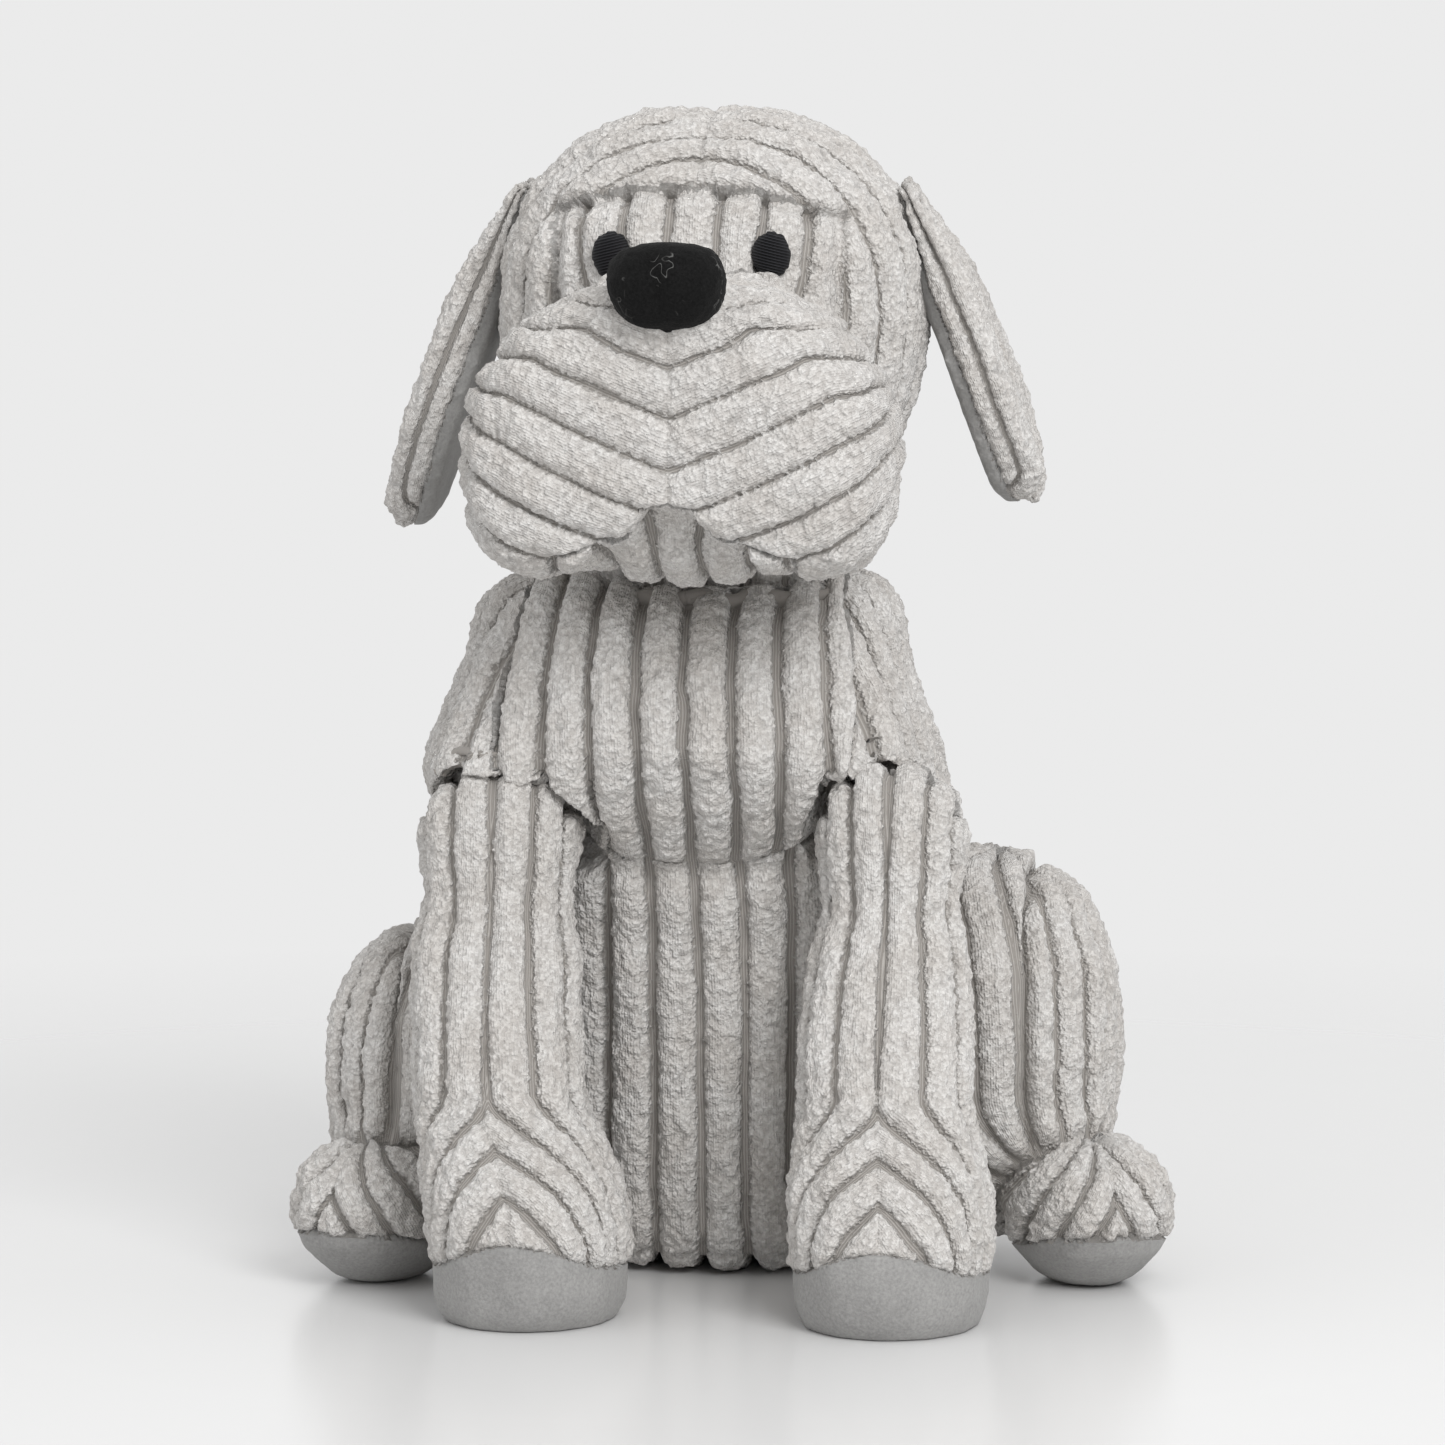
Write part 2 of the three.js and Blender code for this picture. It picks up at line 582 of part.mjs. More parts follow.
function addHindLegs() {
  for (const [side, sign] of Object.entries(SIDES)) {
    const shift = HIND_SHIFT_Y[side];
    const halfZ = (HAUNCH_TOP[side] - HAUNCH.low) / 2;
    const haunchSize = {
      ...HAUNCH,
      x: sign * HAUNCH.x,
      y: HAUNCH.y + shift,
      z: HAUNCH.low + halfZ,
      halfZ,
      square: HAUNCH_SQUARE,
    };
    const haunch = (grow) =>
      ball(haunchSize, grow).intersect(
        halfSpace([sign * (HAUNCH_FLAT_X - grow), 0, 0], [sign, 0, 0]),
      );
    const turned = (sign * FOOT_TOE_OUT * Math.PI) / 180;
    const footSize = { ...FOOT, x: sign * FOOT_X[side], y: FOOT.y + shift, turned };
    const foot = (grow) => ball(footSize, grow, 12, 6);
    const sole = soleSeam(footSize, FOOT_SOLE);
    const toeSeam = sidesOf([footSize.x, footSize.y, 0], [
      sign * Math.cos(turned),
      sign * Math.sin(turned),
      0,
    ]);
    const kneeSeam = sidesOf([sign * KNEE_SEAM_X, 0, 0], [sign, 0, 0]);

    const thigh = cut(haunch(0), haunch(-CLOTH), foot(GAP));
    add(side + "_haunch_outer_panel", thigh.intersect(kneeSeam.ahead), CORD);
    add(side + "_haunch_inner_panel", thigh.intersect(kneeSeam.behind), CORD);
    const outside = halfSpace([sign * FOOT_INNER_X, 0, 0], [sign, 0, 0]).intersect(aboveFloor);
    const shoe = cut(foot(0), foot(-CLOTH), haunch(GAP)).intersect(outside);
    const upper = shoe.intersect(sole.ahead);
    add(side + "_foot_outer_panel", upper.intersect(toeSeam.ahead), CORD);
    add(side + "_foot_inner_panel", upper.intersect(toeSeam.behind), CORD);
    add(side + "_hind_sole", shoe.intersect(sole.behind), SUEDE);
    add(side + "_hind_leg_stuffing", join(haunch(-CLOTH - FILL_GAP), foot(-CLOTH - FILL_GAP)), FILL);
  }
}

// ---- Tail ----
function addTail() {
  const rise = (TAIL_RISE * Math.PI) / 180;
  const form = (grow) => {
    const profile = new THREE.Path();
    profile.absarc(0, 0, TAIL_BALL + grow, -Math.PI / 2, Math.PI / 6, false);
    profile.absarc(0, TAIL_LENGTH, TAIL_RADIUS + grow, 0, Math.PI / 2, false);
    const points = profile.getPoints(3);
    points[0].x = 0;
    points[points.length - 1].x = 0;
    const geometry = new THREE.LatheGeometry(points, 12);
    geometry.rotateX(rise);
    geometry.translate(TAIL_ROOT.x, TAIL_ROOT.y, TAIL_ROOT.z);
    return solidOf(geometry);
  };
  const along = sidesOf([0, 0, 0], [1, 0, 0]);
  const cover = form(0).subtract(form(-CLOTH));
  add("tail_left_panel", cover.intersect(along.ahead), CORD);
  add("tail_right_panel", cover.intersect(along.behind), CORD);
  add("tail_stuffing", form(-CLOTH - FILL_GAP), FILL);
}

addTorso();
addNeck();
addHead();
addEars();
addFrontLegs();
addHindLegs();
addTail();

export default dog;
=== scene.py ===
# %% [markdown]
# # A sitting plush dog in wide-wale cord
# The real dog is a soft toy. Panels of knitted cord are sewn face to face, turned out and stuffed, and the
# soles and the ear linings are suede cloth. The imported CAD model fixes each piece's place and size. This
# lesson gives each body a stuffed skin, cuts it into the sewn panels and raises the cord's ribs on it.
# %% Load the frame
import json
import math
import time

import bpy
import numpy as np
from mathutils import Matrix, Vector
from mathutils.bvhtree import BVHTree
from mathutils.kdtree import KDTree

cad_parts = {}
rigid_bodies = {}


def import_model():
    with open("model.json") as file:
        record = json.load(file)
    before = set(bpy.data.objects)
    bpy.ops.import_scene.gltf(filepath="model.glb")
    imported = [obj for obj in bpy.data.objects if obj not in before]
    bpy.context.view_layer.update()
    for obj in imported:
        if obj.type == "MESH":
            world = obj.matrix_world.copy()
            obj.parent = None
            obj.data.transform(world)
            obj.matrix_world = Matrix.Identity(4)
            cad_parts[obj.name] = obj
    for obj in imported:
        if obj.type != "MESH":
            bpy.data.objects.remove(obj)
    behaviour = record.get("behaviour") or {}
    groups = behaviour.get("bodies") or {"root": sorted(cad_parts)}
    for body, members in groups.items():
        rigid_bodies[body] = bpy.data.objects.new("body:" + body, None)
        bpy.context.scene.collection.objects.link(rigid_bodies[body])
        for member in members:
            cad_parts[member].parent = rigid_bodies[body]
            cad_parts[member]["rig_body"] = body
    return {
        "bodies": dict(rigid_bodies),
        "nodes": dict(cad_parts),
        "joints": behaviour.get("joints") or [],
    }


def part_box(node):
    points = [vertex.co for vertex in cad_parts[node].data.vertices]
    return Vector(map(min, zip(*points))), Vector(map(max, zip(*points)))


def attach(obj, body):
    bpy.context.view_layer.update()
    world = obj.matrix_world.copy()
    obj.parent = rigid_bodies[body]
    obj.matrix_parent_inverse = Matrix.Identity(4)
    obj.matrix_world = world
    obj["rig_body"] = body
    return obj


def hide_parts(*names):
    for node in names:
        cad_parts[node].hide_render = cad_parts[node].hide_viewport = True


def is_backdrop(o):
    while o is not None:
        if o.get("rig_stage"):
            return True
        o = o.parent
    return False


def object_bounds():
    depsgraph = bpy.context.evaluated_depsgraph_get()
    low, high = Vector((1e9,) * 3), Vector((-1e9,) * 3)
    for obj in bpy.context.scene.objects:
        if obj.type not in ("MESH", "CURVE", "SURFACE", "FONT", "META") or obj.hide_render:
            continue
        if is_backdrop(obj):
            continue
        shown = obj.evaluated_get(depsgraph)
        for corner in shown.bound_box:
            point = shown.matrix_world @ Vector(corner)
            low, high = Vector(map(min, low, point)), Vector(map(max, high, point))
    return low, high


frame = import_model()
cad_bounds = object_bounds()
clock = time.perf_counter()
MM = 0.001
bpy.context.scene.view_settings.view_transform = "Standard"


def say(words):
    print(f"[{time.perf_counter() - clock:5.1f} s] {words}")


say(f"{len(frame['nodes'])} CAD pieces on {len(frame['bodies'])} bodies")

# %% [markdown]
# ## Sizes of the cloth
# Wide-wale cord is a thin knitted backing with rows of looped pile. A row and its groove take 11 mm. The
# pile stands 3 to 4 mm high, and less where the cloth is stretched over a full shape.
# %% Cloth sizes
RIB_PITCH = 11.0 * MM
TUCK = 2.2 * MM  # how deep a seam pulls the cloth in
WALL = 1.4 * MM  # backing and seam allowance under the pile
VOXEL = 3.0 * MM
FINE = 2  # subdivisions that take a 3 mm mesh to 0.75 mm
REACH = 12 * MM  # how far from a seam its pull is felt
THICKEST = 20 * MM  # thicker places count as if they were this thick
STITCH_STEP = 0.7 * MM
print(f"ribs every {RIB_PITCH / MM:.0f} mm on a mesh of {VOXEL / MM / 2**FINE:.2f} mm")


# %% [markdown]
# ## Reading and moving points
# A skin has up to 200,000 points, so they are read and moved as one numpy table instead of one by one.
# %% Points of a mesh
def points_of(obj):
    co = np.empty(len(obj.data.vertices) * 3, dtype=np.float32)
    obj.data.vertices.foreach_get("co", co)
    return co.reshape(-1, 3).astype(np.float64)


def normals_of(obj):
    no = np.empty(len(obj.data.vertices) * 3, dtype=np.float32)
    obj.data.vertices.foreach_get("normal", no)
    return no.reshape(-1, 3).astype(np.float64)


def move_points(obj, co):
    obj.data.vertices.foreach_set("co", np.ascontiguousarray(co, dtype=np.float32).ravel())
    obj.data.update()


def corners_of_faces(obj):
    quads = np.empty(len(obj.data.loops), dtype=np.int32)
    obj.data.loops.foreach_get("vertex_index", quads)
    return quads.reshape(-1, 4)


def select_only(*objects):
    bpy.ops.object.select_all(action="DESELECT")
    for o in objects:
        o.select_set(True)
    bpy.context.view_layer.objects.active = objects[0]


def apply_all(obj):
    select_only(obj)
    for name in [m.name for m in obj.modifiers]:
        bpy.ops.object.modifier_apply(modifier=name)


def corners(*nodes):
    boxes = [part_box(n) for n in nodes]
    return np.array([b[0] for b in boxes]).min(0), np.array([b[1] for b in boxes]).max(0)


def long_axes(*nodes):
    """The middle of some CAD pieces and their long, broad and thin directions."""
    co = np.concatenate([points_of(frame["nodes"][n]) for n in nodes])
    middle = (co.min(0) + co.max(0)) / 2
    _, axes = np.linalg.eigh(np.cov((co - middle).T))
    return middle, axes[:, 2], axes[:, 1], axes[:, 0]


# %% [markdown]
# ## One stuffed skin for each body
# A leg or a head could be built panel by panel, but its panels share every seam line. It is simpler to
# merge the body's CAD solids into one closed skin with a voxel remesh, to soften the CAD facets, and to
# put back the volume that softening takes away. The skin is cut into panels at the end.
# %% Skin of a body
def smooth_field(obj, values, turns):
    """Evens a value out over the mesh's edges."""
    ends = np.empty(len(obj.data.edges) * 2, dtype=np.int32)
    obj.data.edges.foreach_get("vertices", ends)
    a, b = ends.reshape(-1, 2).T
    degree = np.bincount(a, minlength=len(values)) + np.bincount(b, minlength=len(values))
    for _ in range(turns):
        total = np.bincount(a, values[b], len(values)) + np.bincount(b, values[a], len(values))
        values = (values + total / degree) / 2
    return values


def keep_largest_part(skin):
    """The remesh also wraps the hollows inside the stuffing. Only the outer skin stays."""
    select_only(skin)
    bpy.ops.object.mode_set(mode="EDIT")
    bpy.ops.mesh.select_all(action="SELECT")
    bpy.ops.mesh.separate(type="LOOSE")
    bpy.ops.object.mode_set(mode="OBJECT")
    parts = sorted(bpy.context.selected_objects, key=lambda o: -len(o.data.vertices))
    for extra in parts[1:]:
        bpy.data.meshes.remove(extra.data)
    return parts[0]


def closed_copy(nodes, close):
    """The body's CAD solids as one mesh, each grown a little, so that the gaps at the seams close."""
    copies = []
    for node in nodes:
        copy = frame["nodes"][node].copy()
        copy.data = frame["nodes"][node].data.copy()
        copy.parent = None
        bpy.context.collection.objects.link(copy)
        copies.append(copy)
    select_only(*copies)
    bpy.ops.object.join()
    skin = bpy.context.view_layer.objects.active
    skin.data.materials.clear()
    bpy.ops.object.mode_set(mode="EDIT")
    bpy.ops.mesh.select_all(action="SELECT")
    bpy.ops.mesh.remove_doubles(threshold=0.00001)
    bpy.ops.object.mode_set(mode="OBJECT")
    move_points(skin, points_of(skin) + normals_of(skin) * close)
    return skin


def tree_of(obj):
    return BVHTree.FromPolygons([v.co for v in obj.data.vertices], [f.vertices for f in obj.data.polygons])


def skin_from(name, nodes, voxel=VOXEL, soften=4, settle=12, close=0.25 * MM):
    skin = closed_copy(nodes, close)
    remesh = skin.modifiers.new("remesh", "REMESH")
    remesh.mode = "VOXEL"
    remesh.voxel_size = voxel
    apply_all(skin)
    skin = keep_largest_part(skin)
    skin.name = name
    for key in [k for k in skin.keys() if k.startswith("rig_")]:
        del skin[key]
    hard = tree_of(skin)
    smooth = skin.modifiers.new("soften", "SMOOTH")
    smooth.factor = 0.5
    smooth.iterations = soften
    apply_all(skin)
    if settle:
        p, n = points_of(skin), normals_of(skin)
        near = np.array([hard.find_nearest(Vector(q))[0] for q in p])
        back = np.clip(((near - p) * n).sum(1) - close, -3 * MM, 6 * MM)
        back = smooth_field(skin, back, settle)
        move_points(skin, p + n * back[:, None])
    return skin


# %% [markdown]
# ## Stuffing a skin
# Fibre filling pushes the cloth out between the seams, and the seams hold it in. Blender's cloth does the
# same with inner pressure and pinned seams. The move is capped, so that the skin stays in its CAD solid's
# space.
# %% Cloth pressure
def seam_points(quads, of_face, count):
    low, high = np.full(count, 99), np.full(count, -1)
    for corner in range(4):
        np.minimum.at(low, quads[:, corner], of_face)
        np.maximum.at(high, quads[:, corner], of_face)
    return low, high


def inflate(skin, pinned, shrink, cap, frames=20, pressure=4.0):
    before = points_of(skin) - normals_of(skin) * shrink
    move_points(skin, before)
    group = skin.vertex_groups.new(name="seams")
    group.add([int(i) for i in np.flatnonzero(pinned)], 1.0, "REPLACE")
    cloth = skin.modifiers.new("stuffing", "CLOTH")
    cloth.settings.quality = 4
    cloth.settings.mass = 0.2
    cloth.settings.tension_stiffness = cloth.settings.compression_stiffness = 12
    cloth.settings.bending_stiffness = 0.4
    cloth.settings.use_pressure = True
    cloth.settings.uniform_pressure_force = pressure
    cloth.settings.effector_weights.gravity = 0
    cloth.settings.vertex_group_mass = "seams"
    cloth.collision_settings.use_collision = False
    cloth.point_cache.frame_start = 1
    cloth.point_cache.frame_end = frames
    for step in range(1, frames + 1):
        bpy.context.scene.frame_set(step)
    apply_all(skin)
    bpy.context.scene.frame_set(1)
    shift = points_of(skin) - before
    far = np.linalg.norm(shift, axis=1, keepdims=True)
    move_points(skin, before + shift * (cap * np.tanh(far / cap) / np.maximum(far, 1e-9)))
    skin.vertex_groups.clear()
    say(f"{skin.name}: stuffed, moved up to {far.max() / MM:.1f} mm, kept to {cap / MM:.1f} mm")


# %% [markdown]
# ## Noise for the pile
# Two kinds of noise shape the pile. Cell noise makes tufts, each a small hump with a rim round it. Wave
# noise makes slow swells, where the pile leans or was pressed. Both are fixed, so each run is the same.
# %% Noise
def scrambled(cell, seed):
    c = cell.astype(np.int64)
    h = c[..., 0] * 73856093 ^ c[..., 1] * 19349663 ^ c[..., 2] * 83492791 ^ (seed * 2654435761)
    h = (h ^ (h >> 13)) * 1274126177
    h = h ^ (h >> 16)
    return (h & 0xFFFFFF).astype(np.float64) / 0xFFFFFF


def tufts(p, size, seed):
    q = p / size
    base = np.floor(q)
    best = np.full(len(p), 9.0)
    for step in np.ndindex(3, 3, 3):
        cell = base + np.array(step) - 1
        at = cell + np.stack([scrambled(cell, seed + s) for s in (1, 2, 3)], axis=1)
        best = np.minimum(best, ((q - at) ** 2).sum(1))
    return 1 - np.clip(np.sqrt(best) / 0.95, 0, 1)


def waves(p, size, seed):
    q = p / size
    base = np.floor(q)
    t = q - base
    t = t * t * (3 - 2 * t)
    total = 0
    for step in np.ndindex(2, 2, 2):
        weight = np.prod([t[:, k] if step[k] else 1 - t[:, k] for k in range(3)], axis=0)
        total = total + weight * scrambled(base + np.array(step), seed)
    return total * 2 - 1


def rise(x, low, high):
    t = np.clip((x - low) / (high - low), 0, 1)
    return t * t * (3 - 2 * t)


# %% [markdown]
# ## Where the ribs run
# A panel is cut from flat cord, so its ribs are lines of equal distance on the flat cloth. On a tube such
# as a leg that distance is the way round from the back seam, measured on the tube's own outline at each
# height. Where the tube grows into a paw, more ribs appear at the front seam and make its chevrons.
# %% Distance round a limb
def way_round(p, step=2.5 * MM, even=None, top=None, from_front=False):
    """The way round from the back of each level section, the same on both sides.

    even is (height, size): above that height each section counts as if it had that half way round.
    Above top the ribs run straight up over the rounded end. from_front starts at the front instead."""
    x, y, z = p.T
    levels = np.arange(z.min(), z.max() + step, step)
    shape = np.zeros((len(levels), 4))
    for i, level in enumerate(levels):
        near = np.abs(z - level) < step
        if near.sum() > 12:
            lo_x, hi_x = np.percentile(x[near], (1, 99))
            lo_y, hi_y = np.percentile(y[near], (1, 99))
            shape[i] = (lo_x + hi_x) / 2, (lo_y + hi_y) / 2, (hi_x - lo_x) / 2, (hi_y - lo_y) / 2
        elif i:
            shape[i] = shape[i - 1]
    kernel = np.hanning(13)[1:-1] / np.hanning(13).sum()
    shape = np.stack([np.convolve(np.pad(s, 5, mode="edge"), kernel, mode="valid") for s in shape.T], axis=1)
    grid = np.linspace(0, math.pi, 65)
    speed = np.hypot(shape[:, 2:3] * np.cos(grid), shape[:, 3:4] * np.sin(grid))
    way = np.zeros((len(levels), 65))
    way[:, 1:] = np.cumsum((speed[:, 1:] + speed[:, :-1]) / 2, axis=1) * grid[1]
    if even:
        share = rise(levels, even[0], even[0] + 12 * MM)
        way *= (1 - share + share * even[1] / np.maximum(way[:, -1], 1e-4))[:, None]
    at = np.clip((np.minimum(z, top or 9) - levels[0]) / step, 0, len(levels) - 1.001)
    cx, cy, a, b = (np.interp(at, np.arange(len(levels)), s) for s in shape.T)
    turn = np.abs(np.arctan2((x - cx) / np.maximum(a, 1e-4), (y - cy) / np.maximum(b, 1e-4)))
    if top:
        straight = np.arccos(np.clip(np.abs(x - cx) / np.maximum(a, 1e-4), 0, 1))
        straight = math.pi / 2 - np.sign(y - cy) * straight
        turn = np.where(z > top, straight, turn)
    g = np.clip(turn / math.pi * 64, 0, 63.999)
    l0, g0 = at.astype(int), g.astype(int)
    l1, tl, tg = np.minimum(l0 + 1, len(levels) - 1), at - l0, g - g0
    lower = way[l0, g0] * (1 - tg) + way[l0, g0 + 1] * tg
    upper = way[l1, g0] * (1 - tg) + way[l1, g0 + 1] * tg
    found = lower * (1 - tl) + upper * tl
    if from_front:
        found = way[l0, -1] * (1 - tl) + way[l1, -1] * tl - found
    return found


# %% [markdown]
# ## Sewing
# The skin is refined, and each point rises or sinks along its normal. A rib is a rounded loaf, and its ends
# go down into an open seam. A flush seam hardly shows, because the pile closes over it. At a lap one panel
# stands proud with a rounded edge, and the other lies in its shade. Then each panel becomes a piece of its
# own, with a rim down the seam and an inner wall, so that it is a closed piece of cloth. Where a body is
# thin, the wall is made thinner too.
# %% Sew a skin
def seam_distance(skin, on_seam, reach):
    """The distance of each point from the chosen seam points, up to reach."""
    far = np.full(len(on_seam), reach)
    chosen = np.flatnonzero(on_seam)
    if not len(chosen):
        return far
    co = points_of(skin)
    tree = KDTree(len(chosen))
    for k, i in enumerate(chosen):
        tree.insert(co[i], k)
    tree.balance()
    lo, hi = co[chosen].min(0) - reach, co[chosen].max(0) + reach
    for i in np.flatnonzero(((co > lo) & (co < hi)).all(1)):
        far[i] = min(tree.find(co[i])[2], reach)
    return smooth_field(skin, far, 2)


def store(obj, name, values):
    layer = obj.data.attributes.get(name) or obj.data.attributes.new(name, "FLOAT", "POINT")
    layer.data.foreach_set("value", np.ascontiguousarray(values, dtype=np.float32))


def mesh_from(name, co, faces_by_size, sharp=()):
    """A mesh from points and tables of faces. Both sides of a sharp edge keep their shading."""
    mesh = bpy.data.meshes.new(name)
    mesh.vertices.add(len(co))
    mesh.vertices.foreach_set("co", np.ascontiguousarray(co, dtype=np.float32).ravel())
    loops = np.concatenate([f.ravel() for f in faces_by_size]).astype(np.int32)
    mesh.loops.add(len(loops))
    mesh.loops.foreach_set("vertex_index", loops)
    sizes = np.concatenate([np.full(len(f), f.shape[1]) for f in faces_by_size])
    mesh.polygons.add(len(sizes))
    mesh.polygons.foreach_set("loop_start", np.concatenate([[0], np.cumsum(sizes)[:-1]]).astype(np.int32))
    mesh.update(calc_edges=True)
    mesh.shade_smooth()
    if len(sharp):
        ends = np.empty(len(mesh.edges) * 2, dtype=np.int32)
        mesh.edges.foreach_get("vertices", ends)
        count = np.array([len(co), 1])
        on_rim = np.isin(np.sort(ends.reshape(-1, 2), axis=1) @ count, np.sort(sharp, axis=1) @ count)
        mesh.attributes.new("sharp_edge", "BOOLEAN", "EDGE").data.foreach_set("value", on_rim)
    piece = bpy.data.objects.new(name, mesh)
    bpy.context.collection.objects.link(piece)
    return piece


def panel_piece(name, quads, outer, inner, values):
    """One panel with its pile side, a rim down the seam and a plainer inner wall."""
    used, index = np.unique(quads, return_inverse=True)
    index = index.reshape(-1, 4)
    sides = np.concatenate([index[:, [k, (k + 1) % 4]] for k in range(4)])
    key = np.sort(sides, axis=1) @ np.array([len(used), 1])
    _, first, times = np.unique(key, return_index=True, return_counts=True)
    rim = sides[first[times == 1]]
    if not len(rim):
        piece = mesh_from(name, outer[used], [index])
        for layer, value in values.items():
            store(piece, layer, value[used])
        return piece
    on_rim = np.zeros(len(used), bool)
    on_rim[rim] = True
    lining = mesh_from(name + "_lining", inner[used], [index[:, ::-1]])
    group = lining.vertex_groups.new(name="inside")
    group.add([int(i) for i in np.flatnonzero(~on_rim)], 1.0, "REPLACE")
    thin = lining.modifiers.new("thin", "DECIMATE")
    thin.ratio = 0.06
    thin.vertex_group = "inside"
    thin.vertex_group_factor = 1000
    apply_all(lining)
    lining.data.calc_loop_triangles()
    inner_faces = np.empty(len(lining.data.loop_triangles) * 3, dtype=np.int32)
    lining.data.loop_triangles.foreach_get("vertices", inner_faces)
    inner_faces = inner_faces.reshape(-1, 3)
    inner_co = points_of(lining)
    bpy.data.meshes.remove(lining.data)
    place = {tuple(c): k for k, c in enumerate(np.float32(inner_co).tolist())}
    wanted = np.float32(inner[used])
    match = {int(i): place.get(tuple(wanted[i].tolist())) for i in np.flatnonzero(on_rim)}
    if None in match.values():
        raise RuntimeError(f"{name}: the rim of the inner wall has moved")
    base = len(used)
    band = np.array([[b, a, match[a] + base, match[b] + base] for a, b in rim.tolist()]).reshape(-1, 4)
    tables = [index, band, inner_faces + base]
    piece = mesh_from(name, np.concatenate([outer[used], inner_co]), tables, rim)
    for layer, value in values.items():
        store(piece, layer, np.concatenate([value[used], np.zeros(len(inner_co))]))
    return piece


def thickness(skin, p, n):
    """How thick the skin's body is under each point."""
    tree = tree_of(skin)
    found = np.full(len(p), THICKEST)
    for i in range(len(p)):
        hit = tree.ray_cast(Vector(p[i] - n[i] * 0.2 * MM), Vector(-n[i]), THICKEST)
        if hit[0] is not None:
            found[i] = hit[3]
    return found


